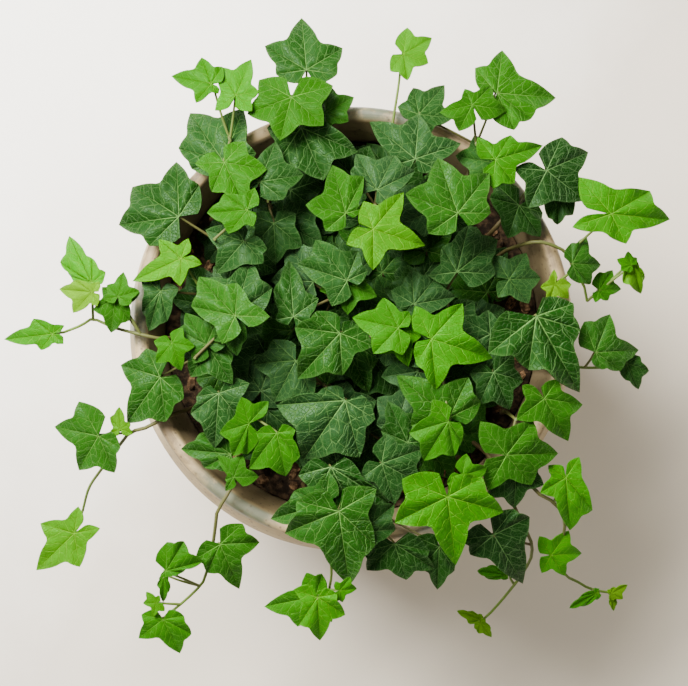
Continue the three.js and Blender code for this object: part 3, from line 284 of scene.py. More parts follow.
RUNNERS: tuple[Shoot, ...] = (
    Shoot("runner_west", (-84, -2), (-84, -2), (
        Leaf(0.7, 9, (-94, -10.3), (-88.9, -24.7), (-81.9, -11.8), (-102.3, -20.7), (-88.4, -2.3),
             (-103.3, -9.3), joint=2),
        Leaf(0.5, 4, (-123.7, 12.8), (-125.6, -5), (-116, 1.5), (-135, 7), (-110.5, 16),
             (-130.5, 19), joint=3),
        Leaf(0.6, 5, (-122, 14), (-119.3, 27), (-128, 20), (-111, 17), joint=3),
        Leaf(0.9, 4, (-135.7, 21.1), (-147.8, 45.8), (-152.5, 32), (-135.8, 34.2), (-146.2, 26.3),
             (-129, 27), joint=5),
        Leaf(1, 6, (-135.7, 16.4), (-152.8, 17.9), (-145.5, 5.4), (-144.6, 22.7), (-133, 9),
             (-132, 22), joint=5),
        Leaf(0.85, 5, (-156, -5.5), (-181.3, -8.4), (-162, -14), (-166, 2.5), (-150.3, -10.6),
             (-150.3, -1), joint=7),
    ), (
        (-84, -2, -25), (-90, -6, -8), (-99, -8, 5), (-110, -5.8, 7), (-124, -2.2, 2),
        (-135, 2.2, -4), (-141, -1, -8), (-150, -4.6, -12),
    )),
    Shoot("runner_south_west", (-76, -40), (-76, -40), (
        Leaf(0.45, 5, (-131.8, -58.5), (-141.8, -76.4), (-123.3, -77.7), (-154.7, -53.8),
             (-120.4, -64.8), (-142.1, -40.6), joint=4),
        Leaf(0.95, 4, (-120.5, -55), (-121.1, -43.4), (-126, -49), (-115.5, -52), joint=4),
        Leaf(0.93, 5, (-144, -109), (-163.5, -128), (-141, -126.3), (-161.6, -103.8),
             (-130.8, -106.3), (-142, -95), joint=8),
    ), (
        (-76, -40, -25), (-86, -45, -6), (-96, -48.5, 5), (-107.5, -54.4, 5), (-115, -56.6, 1),
        (-120, -62.3, -6), (-130.5, -76.4, -22), (-136.5, -85.5, -36), (-139.6, -97, -52),
    )),
    Shoot("runner_south_west_lower", (-50, -72), (-50, -72), (
        Leaf(0.5, 3, (-61.5, -80), (-70, -68.5), (-66, -81), (-57, -68), None, (-48.5, -79.7),
             joint=2),
        Leaf(0.5, 4, (-68.5, -114.6), (-58.4, -137.7), (-48, -113.7), (-75, -129.3), (-57, -104),
             (-81.3, -122.4), joint=6),
        Leaf(0.65, 5, (-96.4, -128.4), (-77.3, -123.2), (-87.2, -113), (-87.6, -129), (-96, -113.4),
             (-99.5, -131.5), joint=8),
        Leaf(0.7, 4, (-97.4, -131), (-97.8, -144.5), (-94.3, -138.2), (-101, -136), (-95, -133),
             (-100, -132.5), joint=8),
        Leaf(0.92, 6, (-101.3, -144.8), (-108.2, -145), (-103, -152), (-106.6, -139), (-97, -149),
             joint=9),
        Leaf(0.75, 4, (-97.9, -153.2), (-89, -170.7), (-83, -160.7), (-110.4, -163), (-87, -151.4),
             (-109, -150.7), joint=10),
    ), (
        (-50, -72, -25), (-56, -77, -6), (-61, -82, 4), (-64.9, -89, 7), (-69.9, -97.6, 5),
        (-70.8, -104, 1), (-72.2, -114.3, -7), (-75.7, -129.9, -18), (-78.8, -136.1, -21),
        (-88.8, -145.5, -26), (-95.7, -150.7, -29),
    )),
    Shoot("runner_south", (-26, -84), (-26, -84), (
        Leaf(0.7, 4, (-19, -141.5), (-45.6, -146.7), (-28.3, -157), (-24, -129.5), None,
             (-15.5, -130), joint=5),
        Leaf(0.9, 6, (-18, -142), (-16.7, -164.2), (-3.6, -151), (-27.5, -156), (-8, -140),
             joint=5),
        Leaf(0.85, 5, (-6.5, -138.5), (2.4, -137.5), (-1, -131.5), (-5, -144.5), joint=5),
    ), (
        (-26, -84, -25), (-22, -93, -6), (-17, -104, 5), (-12, -116, 5), (-10.8, -129.3, -4),
        (-12, -138, -12),
    )),
    Shoot("runner_south_east_lower", (62, -60), (62, -60), (
        Leaf(0.05, 4, (73.3, -109.8), (88.3, -135), (92, -100.5), (61, -120), joint=6),
        Leaf(0.85, 2, (80.6, -130.5), (64.6, -128.4), (70.3, -132.6), (71.3, -125.3), (78, -133),
             (78.6, -127.4), joint=9),
        Leaf(1, 4, (67, -153.5), (54, -149), (60, -155.3), (61, -149), (65, -156), (66, -150.5),
             joint=11),
        Leaf(1, 5, (66, -154.7), (72, -162.5), (71.6, -157.4), (65.3, -160.6), (69, -153.3),
             (63, -157.8), joint=11),
    ), (
        (62, -60, -25), (69, -67, -1), (76, -76, 6), (81, -86, 6), (84, -95, 4), (91.2, -109.8, -6),
        (93, -115, -12), (92.8, -121, -19), (89.8, -127, -26), (83.9, -135.5, -36),
        (73.3, -148, -48), (68, -153, -54),
    )),
    Shoot("runner_south_east", (70, -50), (70, -50), (
        Leaf(0.85, 5, (111, -80.2), (112.8, -107.5), (124.7, -97), (97.6, -88), (118, -69.5),
             (102, -73.8), joint=5),
        Leaf(0.9, 5, (103, -120.3), (118.9, -119.3), (112.3, -107.5), (110.3, -131), (97, -110.5),
             (98, -129.5), joint=8),
        Leaf(0.9, 4, (127.5, -139.2), (112.3, -147.6), (120.4, -146.5), (118, -141.5),
             (127, -143.2), (125.5, -137.2), joint=11),
        Leaf(1, 5, (133.9, -140.3), (142.6, -135.5), (135.5, -136.6), (140.1, -142.9),
             (132.4, -138), (135, -143.6), joint=12),
        Leaf(1, 4, (134.6, -142), (135.2, -149), (137, -145.5), (133, -145.8), (137, -142.6),
             (132.6, -142.4), joint=12),
    ), (
        (70, -50, -25), (77, -60, -1), (86, -73, 6), (91, -82, 7), (98, -89.5, 5), (104.5, -93, 1),
        (110, -101, -8), (109, -112, -19), (104.5, -122, -28), (111.3, -131.2, -40),
        (116.9, -134.1, -46), (124, -138, -52), (132.7, -139.4, -56),
    )),
    Shoot("runner_east_lower", (88, -16), (88, -16), (
        Leaf(0.4, 6, (126.9, -15.1), (149.4, -13.8), (134.5, 4.9), (139.9, -24.6), (121, 1),
             (130, -24), joint=4),
        Leaf(0.25, 4, (143, -20.8), (149.1, -34.4), (154.7, -24.6), (142.4, -29.5), (150, -17),
             joint=5),
    ), (
        (88, -16, -25), (95, -19, -8), (102, -21, 3), (111, -22, 5), (121, -23, 0),
        (130.4, -23, -6),
    )),
    Shoot("runner_east", (74, 34), (74, 34), (
        Leaf(0.85, 8, (135.5, 57.5), (166.3, 54.6), (156, 69.6), (143.2, 41.7), (118.8, 76.9),
             (114.5, 53.2), joint=5),
        Leaf(0.42, 5, (115, 31.4), (130, 30.7), (122.6, 45.4), (124.5, 20.5), (114.4, 42.2),
             (118.5, 21), joint=5),
        Leaf(1, 4, (106, 20.5), (102.3, 10.5), (113, 13), (98.5, 19), (114.5, 20.5), (108.5, 28),
             joint=6),
        Leaf(0.75, 4, (129, 17.4), (140.5, 18), (136, 28), (133.5, 12), (129, 27), joint=8),
        Leaf(0.95, 3, (146.2, 32.3), (150.8, 15.5), (153, 24.4), (141.5, 21.2), (150, 30.5),
             (142, 29), joint=8),
        Leaf(0.85, 4, (145.7, 30.7), (138.4, 33.8), (140.5, 28), (144.2, 38), (144.5, 26.5),
             (148.9, 34.4), joint=8),
    ), (
        (74, 34, -25), (80, 38, -8), (89.5, 41.5, 3), (97, 42.8, 7), (104.8, 41, 6),
        (112.4, 36.5, 3), (115.5, 28, 0), (120.7, 20.6, -4), (122.5, 11.7, -9),
    )),
)


def draw(number: int) -> float:
    """Returns a fixed draw from 0 to 1 for a whole number."""
    spread = math.sin(number * 12.9898 + 4.1414) * 43758.5453
    return spread - math.floor(spread)


def in_space(x: float, y: float, z: float) -> Point3:
    """Moves a point of the plan along its line of sight to a height.

    Args:
        x: the plan's x, in mm.
        y: the plan's y, in mm.
        z: the height over the floor, in mm.

    Returns:
        The point, in mm.
    """
    share = (EYE[2] - z) / (EYE[2] - POT_HEIGHT)
    return EYE[0] + (x - EYE[0]) * share, EYE[1] + (y - EYE[1]) * share, z


def move(start: Sequence[float], angle: float, length: float) -> Point:
    """Returns the point at a distance from another one, in a direction of the plan."""
    return start[0] + length * math.cos(angle), start[1] + length * math.sin(angle)


def dome(x: float, y: float) -> float:
    """Returns the height of the foliage's rounded top over the lip, in mm."""
    part = math.hypot(x, y) / DOME_RADIUS
    return DOME_HEIGHT * (1 - part * part) if part < 1 else -2 * DOME_HEIGHT * (part - 1)


def least_height(x: float, y: float) -> float:
    """Finds the lowest height that a leaf may have over the soil and the lip.

    Args:
        x: the place's x, in mm.
        y: the place's y, in mm.

    Returns:
        The height, in mm.
    """
    far = math.hypot(x, y)
    if far < WELL_RADIUS:
        return POT_HEIGHT - WELL_DEPTH + WELL_SLOPE * max(0.0, far - WELL_FLAT_RADIUS)
    return POT_HEIGHT + RIM_CLEARANCE - DRAPE_SLOPE * max(0.0, far - DRAPE_RADIUS)


def soil_top(x: float, y: float) -> float:
    """Returns the height of the soil at a place, in mm."""
    wave = math.sin(0.11 * x + 1.3) * math.cos(0.09 * y - 0.4) + 0.6 * math.sin(0.23 * x - 0.19 * y)
    return POT_HEIGHT - SOIL_DEPTH + 0.55 * SOIL_UNEVENNESS * wave


def distance_to_line(spot: Point, start: Point, end: Point) -> float:
    """Measures how far a point is from the line between two others.

    Args:
        spot: the point.
        start: the line's start.
        end: the line's end.

    Returns:
        The distance.
    """
    run = (end[0] - start[0], end[1] - start[1])
    away = (spot[0] - start[0], spot[1] - start[1])
    share = (away[0] * run[0] + away[1] * run[1]) / (run[0] ** 2 + run[1] ** 2)
    part = min(1.0, max(0.0, share))
    return math.hypot(away[0] - part * run[0], away[1] - part * run[1])


@dataclass(frozen=True)
class Lobe:
    """A lobe's angle from the middle vein and its length from the leaf's base."""

    turn: float
    length: float


@dataclass
class LeafShape:
    """The five lobes of a leaf and the outline through them."""

    leaf: Leaf
    heading: float = field(init=False)
    length: float = field(init=False)
    lobes: list[Lobe] = field(init=False)

    def __post_init__(self) -> None:
        """Reads the lobes from the leaf's plan."""
        bx, by = self.leaf.base
        tx, ty = self.leaf.tip
        self.heading = math.atan2(ty - by, tx - bx)
        self.length = math.hypot(tx - bx, ty - by)
        leaf = self.leaf
        given = (leaf.right_base, leaf.right, leaf.tip, leaf.left, leaf.left_base)
        turns: list[float] = []
        lengths: list[float] = []
        for i, tip in enumerate(given):
            if tip is None:
                turns.append(math.radians(LOBE_TURNS[i]))
                lengths.append(self.length * LOBE_SHARES[i])
                continue
            turn = math.atan2(tip[1] - by, tip[0] - bx) - self.heading
            turn -= 2 * math.pi * math.floor(turn / (2 * math.pi) + 0.5)
            if i < 2 and turn > 0:
                turn -= 2 * math.pi
            if i > 2 and turn < 0:
                turn += 2 * math.pi
            turns.append(turn)
            lengths.append(math.hypot(tip[0] - bx, tip[1] - by))
        turns[1] = max(turns[1], -LOBE_LIMIT + LOBE_SPACE)
        turns[3] = min(turns[3], LOBE_LIMIT - LOBE_SPACE)
        turns[0] = max(min(turns[0], turns[1] - LOBE_SPACE), -LOBE_LIMIT)
        turns[4] = min(max(turns[4], turns[3] + LOBE_SPACE), LOBE_LIMIT)
        self.lobes = [Lobe(turn, length) for turn, length in zip(turns, lengths)]

    @property
    def size(self) -> float:
        """Returns the length of the longest lobe."""
        return max(lobe.length for lobe in self.lobes)

    def outline(self) -> list[tuple[float, float, float]]:
        """Runs an outline through the lobes.

        Returns:
            The points, from the leaf's base: angle, length, and 1 where one lies between two lobes.
        """
        cut = 0.82 - 0.12 * self.leaf.youth
        first, last = self.lobes[0], self.lobes[4]
        start = max(first.turn - SHOULDER_TURN, -NOTCH_LIMIT)
        end = min(last.turn + SHOULDER_TURN, NOTCH_LIMIT)
        points = [(0.0, 0.0, 0.0), (start, first.length * 0.5, 0.5)]
        for i, lobe in enumerate(self.lobes):
            points.append((lobe.turn, lobe.length, 0.0))
            if i < 4:
                after = self.lobes[i + 1]
                gap = after.turn - lobe.turn
                mean = min((lobe.length + after.length) / 2, 1.25 * min(lobe.length, after.length))
                depth = 1 - (1 - cut) * min(1.8, (gap / 0.9) ** 2)
                points.append(((lobe.turn + after.turn) / 2, mean * depth, 1.0))
        points.append((end, last.length * 0.5, 0.5))
        return points


@dataclass
class Outline:
    """What settles: points, edges and triangles in plan, with heights."""

    points: list[list[float]]
    edges: list[tuple[int, int]]
    triangles: list[tuple[int, int, int]]
    blade_edges: int
    owner: str

    def bounds(self) -> Box:
        """Measures the plan.

        Returns:
            The lowest and highest x, then y.
        """
        xs = [p[0] for p in self.points]
        ys = [p[1] for p in self.points]
        return min(xs), max(xs), min(ys), max(ys)

    def height_in(self, triangle: tuple[int, int, int], x: float, y: float) -> Optional[float]:
        """Finds the height of a triangle at a place.

        Args:
            triangle: the numbers of its points.
            x: the place's x.
            y: the place's y.

        Returns:
            The height, or None outside the triangle.
        """
        a, b, c = (self.points[i] for i in triangle)
        area = (b[0] - a[0]) * (c[1] - a[1]) - (c[0] - a[0]) * (b[1] - a[1])
        if abs(area) < 1e-9:
            return None
        u = ((x - a[0]) * (c[1] - a[1]) - (c[0] - a[0]) * (y - a[1])) / area
        v = ((b[0] - a[0]) * (y - a[1]) - (x - a[0]) * (b[1] - a[1])) / area
        if u < 0 or v < 0 or u + v > 1:
            return None
        return a[2] + u * (b[2] - a[2]) + v * (c[2] - a[2])

    def rise_over(self, lower: "Outline") -> float:
        """Measures how far a lower outline rises over this one.

        Args:
            lower: the other outline.

        Returns:
            The most that it rises where they overlap in plan.
        """
        blades_only = lower.owner == self.owner
        rise = -math.inf
        for one, other, sign in ((self, lower, 1.0), (lower, self, -1.0)):
            points = one.points[:BLADE_POINTS] if blades_only else one.points
            for p in points:
                for triangle in other.triangles:
                    z = other.height_in(triangle, p[0], p[1])
                    if z is not None:
                        rise = max(rise, sign * (z - p[2]))
        mine = self.edges[: self.blade_edges] if blades_only else self.edges
        theirs = lower.edges[: lower.blade_edges] if blades_only else lower.edges
        for i, j in mine:
            a, b = self.points[i], self.points[j]
            for k, m in theirs:
                c, d = lower.points[k], lower.points[m]
                cross = (b[0] - a[0]) * (d[1] - c[1]) - (b[1] - a[1]) * (d[0] - c[0])
                if abs(cross) < 1e-9:
                    continue
                s = ((c[0] - a[0]) * (d[1] - c[1]) - (c[1] - a[1]) * (d[0] - c[0])) / cross
                t = ((c[0] - a[0]) * (b[1] - a[1]) - (c[1] - a[1]) * (b[0] - a[0])) / cross
                if 0 <= s <= 1 and 0 <= t <= 1:
                    rise = max(rise, c[2] + t * (d[2] - c[2]) - a[2] - s * (b[2] - a[2]))
        return rise

    def floor_rise(self) -> float:
        """Measures how far the soil and the lip rise over this outline.

        Returns:
            The most that they rise.
        """
        rise = -math.inf
        for i, j in self.edges:
            a, b = self.points[i], self.points[j]
            for k in range(5):
                x, y, z = (a[n] + (b[n] - a[n]) * k / 4 for n in range(3))
                rise = max(rise, least_height(x, y) - z)
        return rise


@dataclass
class Growth:
    """A leaf on its stem: its shape, its place in the canopy and its petiole."""

    shoot: Shoot
    leaf: Leaf
    number: int
    shape: LeafShape = field(init=False)
    height: float = 0.0
    petiole: list[Point3] = field(default_factory=list)

    def __post_init__(self) -> None:
        """Reads the leaf's lobes."""
        self.shape = LeafShape(self.leaf)

    @property
    def sway(self) -> tuple[float, float, float, float]:
        """Draws how the blade lies.

        Returns:
            The direction and slope of its tilt, then its curl and its droop.
        """
        tilt_to = 2 * math.pi * draw(self.number * 3 + 1)
        tilt = MOST_TILT * draw(self.number * 3 + 2)
        curl = LEAST_CURL + MORE_CURL * draw(self.number * 3 + 3)
        return tilt_to, tilt, curl, RUNNER_DROOP if self.shoot.course else SPRAY_DROOP

    @property
    def neck(self) -> Point3:
        """Returns where the petiole ends under the blade, in plan with its height."""
        return *move(self.leaf.base, self.shape.heading, 1.1), self.height - 0.45

    @property
    def joint(self) -> tuple[float, ...]:
        """Finds where the petiole leaves the stem.

        Returns:
            The place on a runner, or the head of another stem.
        """
        if not self.shoot.course:
            return self.shoot.head
        return self.shoot.course[min(self.leaf.joint, len(self.shoot.course) - 1)]

    def rise_at(self, length: float, turn: float, between: float) -> Point3:
        """Finds a point of the blade.

        Args:
            length: the distance from the leaf's base, in mm.
            turn: the angle from the middle vein.
            between: 0 on a lobe's vein and 1 midway between two lobes.

        Returns:
            The plan's x and y, and the height over the base, in mm.
        """
        size = self.shape.size
        tilt_to, tilt, curl, droop = self.sway
        angle = self.shape.heading + turn
        x, y = move(self.leaf.base, angle, length)
        reach = length / size
        along = length * math.cos(turn) / size
        z = dome(x, y) - dome(*self.leaf.base) + tilt * length * math.cos(angle - tilt_to)
        sink = curl * reach * reach
        z += size * (0.085 * between * reach - sink - droop * max(0.0, along) * along)
        return x, y, z

    def petiole_plan(self) -> list[list[float]]:
        """Draws the petiole before the leaf settles.

        Returns:
            Its three points, from the blade to the stem, with heights over the leaf's base.
        """
        bx, by = self.leaf.base
        joint = self.joint
        run = math.hypot(joint[0] - bx, joint[1] - by)
        drop = PETIOLE_JOIN + 2 + 0.3 * min(run, 16.0)
        start = [*move(self.leaf.base, self.shape.heading, -0.7), -PETIOLE_JOIN]
        middle = [bx + 0.45 * (joint[0] - bx), by + 0.45 * (joint[1] - by)]
        middle.append(-PETIOLE_JOIN - 0.4 * (drop - PETIOLE_JOIN))
        return [start, middle, [joint[0], joint[1], -drop]]

    def settle(self, settled: list[tuple[Outline, Box]]) -> None:
        """Lifts the leaf over what has settled below it.

        Args:
            settled: the outlines so far, to which this one is added.
        """
        bx, by = self.leaf.base
        outline = self.shape.outline()
        points = [list(self.rise_at(length, turn, between)) for turn, length, between in outline]
        count = len(points)
        edges = [(i, (i + 1) % count) for i in range(count)]
        triangles = [(0, i, i + 1) for i in range(1, count - 1)]
        edges += [(0, i) for i in range(2, count - 1)]
        blade_edges = len(edges)
        petiole = self.petiole_plan()
        self.height = POT_HEIGHT + 0.75 * dome(bx, by) - CANOPY_SINK
        self.height += LAYER_STEP * self.leaf.layer
        runner = bool(self.shoot.course)
        if runner:
            joint_height = self.joint[2]
            self.height = POT_HEIGHT + joint_height + RUNNER_LEAF_RISE
            petiole[2][2] = joint_height + POT_HEIGHT - self.height
            petiole[1][2] = 0.5 * petiole[2][2] - 0.6
        points += petiole
        edges += [(count, count + 1), (count + 1, count + 2)]
        for p in points:
            p[2] += self.height
        body = Outline(points, edges, triangles, blade_edges, self.shoot.name)
        box = body.bounds()
        lift = 0.0
        if not runner or self.joint[2] > -4:
            lift = max(0.0, body.floor_rise())
        for other, theirs in settled:
            if theirs[0] > box[1] or theirs[1] < box[0] or theirs[2] > box[3] or theirs[3] < box[2]:
                continue
            lift = max(lift, body.rise_over(other) + LAYER_GAP)
        last = len(points) - 1
        for i, p in enumerate(points):
            share = {last: 0.0, last - 1: 0.5}.get(i, 1.0) if runner else 1.0
            p[2] += lift * share
        self.height += lift
        self.petiole = [tuple(p) for p in points[count:]]
        settled.append((body, box))


class Canopy:
    """All leaves on their stems, settled over each other from the lowest layer up."""

    def __init__(self) -> None:
        """Gathers the leaves, adds those in the shade and settles them all."""
        self.spots: list[Point] = [spot for shoot in SPRAYS for spot in (shoot.root, shoot.head)]
        self.spots += [point[:2] for shoot in RUNNERS for point in shoot.course[:2]]
        self.growths: list[Growth] = []
        for number, shoot in enumerate(SPRAYS):
            for leaf in shoot.leaves + self.shade_leaves(shoot, number):
                self.growths.append(Growth(shoot, leaf, len(self.growths)))
        for shoot in RUNNERS:
            for leaf in shoot.leaves:
                self.growths.append(Growth(shoot, leaf, len(self.growths)))
        self.settle()

    def shade_leaves(self, shoot: Shoot, number: int) -> tuple[Leaf, ...]:
        """Finds places for small dark leaves low down on a stem.

        Args:
            shoot: the stem that bears them.
            number: the stem's number, for the draws.

        Returns:
            Two leaves at most, clear of the other stems and of the lip.
        """
        grown: list[Leaf] = []
        for i in range(SHADE_TRIES):
            if len(grown) == SHADE_LEAVES:
                break
            place = 31 * number + i
            angle = 2 * math.pi * draw(700 + place)
            turn = angle + 1.2 * (draw(1900 + place) - 0.5)
            length = 19 + 7 * draw(2800 + place)
            base = move(shoot.head, angle, SHADE_REACH)
            tip = move(base, turn, length)
            leaf = Leaf(0.1 * draw(3800 + place), 0, base, tip)
            apart = all(math.dist(other.tip, tip) > SHADE_SPACE for other in grown)
            inside = math.hypot(*base) < SHADE_BASE_LIMIT and math.hypot(*tip) < SHADE_TIP_LIMIT
            if apart and inside and self.is_clear(shoot, leaf, turn, length):
                grown.append(leaf)
        return tuple(grown)

    def is_clear(self, shoot: Shoot, leaf: Leaf, turn: float, length: float) -> bool:
        """Checks that a leaf stays off every stem but its own.

        Args:
            shoot: its stem.
            leaf: the leaf.
            turn: the middle vein's direction.
            length: the middle vein's length, in mm.

        Returns:
            Whether it does.
        """
        base = leaf.base
        for spot in self.spots:
            if spot in (shoot.root, shoot.head):
                continue
            if distance_to_line(spot, shoot.head, base) <= STEM_CLEARANCE:
                return False
            for lobe_turn, share in zip(LOBE_TURNS, LOBE_SHARES):
                end = move(base, turn + math.radians(lobe_turn), length * share)
                if distance_to_line(spot, base, end) <= LOBE_CLEARANCE:
                    return False
        return True

    def settle(self) -> None:
        """Settles every leaf over the runners and the leaves below it."""
        settled: list[tuple[Outline, Box]] = []
        for shoot in RUNNERS:
            points = [[x, y, POT_HEIGHT + z] for x, y, z in shoot.course]
            edges = [(i, i + 1) for i in range(len(points) - 1)]
            body = Outline(points, edges, [], 0, shoot.name)
            settled.append((body, body.bounds()))
        for growth in sorted(self.growths, key=lambda one: (one.leaf.layer, one.number)):
            growth.settle(settled)

    def low_leaves(self) -> list[Growth]:
        """Finds places for the small dark leaves close to the soil.

        Returns:
            The leaves, in three levels, clear of the bare soil at the lower left.
        """
        grown: list[Growth] = []
        for i in range(LOW_LEAVES):
            far = LOW_RADIUS * math.sqrt((i + 0.5) / LOW_LEAVES)
            angle = GOLDEN_ANGLE * i + 0.35 * draw(5100 + i)
            base = move((0.0, 0.0), angle, far)
            aside = draw(5300 + i) - 0.5
            heading = angle + 2.4 * aside
            if far > LOW_WALL_RADIUS:
                heading = angle + (1.45 + 0.9 * aside) * (1 if i % 2 else -1)
            length = 17 + 8 * draw(5500 + i)
            lobes = ((0.0, 1.0), (0.98, 0.86), (-0.98, 0.86))
            tips = [move(base, heading + turn, length * share) for turn, share in lobes]
            outside = max(math.hypot(*spot) for spot in tips) > LOW_TIP_LIMIT
            if outside or math.dist(tips[0], BARE_SOIL) < BARE_SOIL_RADIUS:
                continue
            leaf = Leaf(0.4 * draw(5700 + i) ** 2, 0, base, tips[0])
            growth = Growth(Shoot("shade", base, base, ()), leaf, 900 + i)
            growth.height = soil_top(*base) + 6 + max(0.0, dome(*base) - CANOPY_SINK)
            growth.height += LOW_LEVEL_STEP * (i % LOW_LEVELS)
            grown.append(growth)
        return grown

    def of(self, shoot: Shoot) -> list[Growth]:
        """Returns the leaves of a stem."""
        return [growth for growth in self.growths if growth.shoot is shoot]


class Sheet:
    """A material's node sheet, with short ways to add and join its nodes."""

    def __init__(self, name: str) -> None:
        """Starts a material with its shader.

        Args:
            name: the material's name.
        """
        self.material = bpy.data.materials.new(name)
        self.material.use_nodes = True
        self.tree = self.material.node_tree
        self.shader = self.tree.nodes["Principled BSDF"]
        self.place = self.node("ShaderNodeTexCoord").outputs["Object"]

    def feed(self, value: object, socket: Socket) -> None:
        """Joins a socket to an input, or sets the input to a value.

        Args:
            value: the socket, number, vector or colour.
            socket: the input.
        """
        if isinstance(value, bpy.types.NodeSocket):
            self.tree.links.new(value, socket)
        elif isinstance(value, tuple) and len(value) == 3 and socket.type == "RGBA":
            socket.default_value = (*value, 1.0)
        else:
            socket.default_value = value

    def node(self, kind: str, values: Optional[dict] = None, **settings: object) -> bpy.types.Node:
        """Adds a node and feeds its inputs.

        Args:
            kind: the node's type.
            values: what goes to each input, by its name or number.
            **settings: the node's own settings.

        Returns:
            The node.
        """
        made = self.tree.nodes.new(kind)
        for name, value in settings.items():
            setattr(made, name, value)
        for key, value in (values or {}).items():
            self.feed(value, made.inputs[key])
        return made

    def set(self, **inputs: object) -> None:
        """Sets the shader's inputs by name, with _ for a space."""
        for name, value in inputs.items():
            self.feed(value, self.shader.inputs[name.replace("_", " ")])

    def math(
        self, kind: str, a: Value, b: Value = 0.0, c: Value = 0.0, clamp: bool = False
    ) -> Socket:
        """Adds a Math node.

        Args:
            kind: the operation.
            a: the first number.
            b: the second number.
            c: the third number.
            clamp: whether the result stays from 0 to 1.

        Returns:
            The result.
        """
        values = {0: a, 1: b, 2: c}
        return self.node("ShaderNodeMath", values, operation=kind, use_clamp=clamp).outputs[0]

    def mix(self, share: Value, a: object, b: object, blend: str = "MIX") -> Socket:
        """Mixes two colours.

        Args:
            share: how much of the second colour.
            a: the first colour.
            b: the second colour.
            blend: the way of mixing.

        Returns:
            The colour.
        """
        values = {0: share, 6: a, 7: b}
        return self.node("ShaderNodeMix", values, data_type="RGBA", blend_type=blend).outputs[2]

    def ramp(self, value: Socket, stops: Tones) -> Socket:
        """Runs a value through a colour ramp.

        Args:
            value: the value, from 0 to 1.
            stops: the ramp's places and colours.

        Returns:
            The colour.
        """
        made = self.node("ShaderNodeValToRGB", {0: value})
        elements = made.color_ramp.elements
        while len(elements) < len(stops):
            elements.new(0.5)
        for element, (at, colour) in zip(elements, stops):
            element.position = at
            element.color = (*colour, 1.0)
        return made.outputs[0]

    def span(
        self, value: Socket, low: float, high: float, start: float = 0.0, end: float = 1.0
    ) -> Socket:
        """Maps a value smoothly from one range to another.

        Args:
            value: the value.
            low: where the first range starts.
            high: where the first range ends.
            start: where the second range starts.
            end: where the second range ends.

        Returns:
            The mapped value.
        """
        values = {0: value, 1: low, 2: high, 3: start, 4: end}
        return self.node("ShaderNodeMapRange", values, interpolation_type="SMOOTHSTEP").outputs[0]

    def noise(
        self, place: Socket, scale: float, detail: float = 3.0, rough: float = 0.55
    ) -> Socket:
        """Adds noise.

        Args:
            place: the place that it is read at.
            scale: how fine it is.
            detail: how many finer layers it has.
            rough: how strong the finer layers are.

        Returns:
            The noise, around 0.5.
        """
        values = {"Vector": place, "Scale": scale, "Detail": detail, "Roughness": rough}
        return self.node("ShaderNodeTexNoise", values).outputs[0]

    def parts(self, place: Socket) -> Sequence[Socket]:
        """Splits a vector into x, y and z."""
        return self.node("ShaderNodeSeparateXYZ", {0: place}).outputs[:]

    def joined(self, *parts: Value) -> Socket:
        """Joins x, y and z into a vector."""
        return self.node("ShaderNodeCombineXYZ", dict(enumerate(parts))).outputs[0]

    def attribute(self, name: str) -> Socket:
        """Reads a number that the mesh carries."""
        return self.node("ShaderNodeAttribute", attribute_name=name).outputs["Fac"]

    def bump(self, height: Socket, strength: float, distance: float) -> None:
        """Raises the surface by a height, with the distance in metres."""
        values = {"Strength": strength, "Distance": distance, "Height": height}
        self.feed(self.node("ShaderNodeBump", values).outputs[0], self.shader.inputs["Normal"])


class LeafSide(Enum):
    """The upper sides of old and young blades, and the underside."""

    OLD = "leaf_old"
    YOUNG = "leaf_young"
    UNDER = "leaf_under"


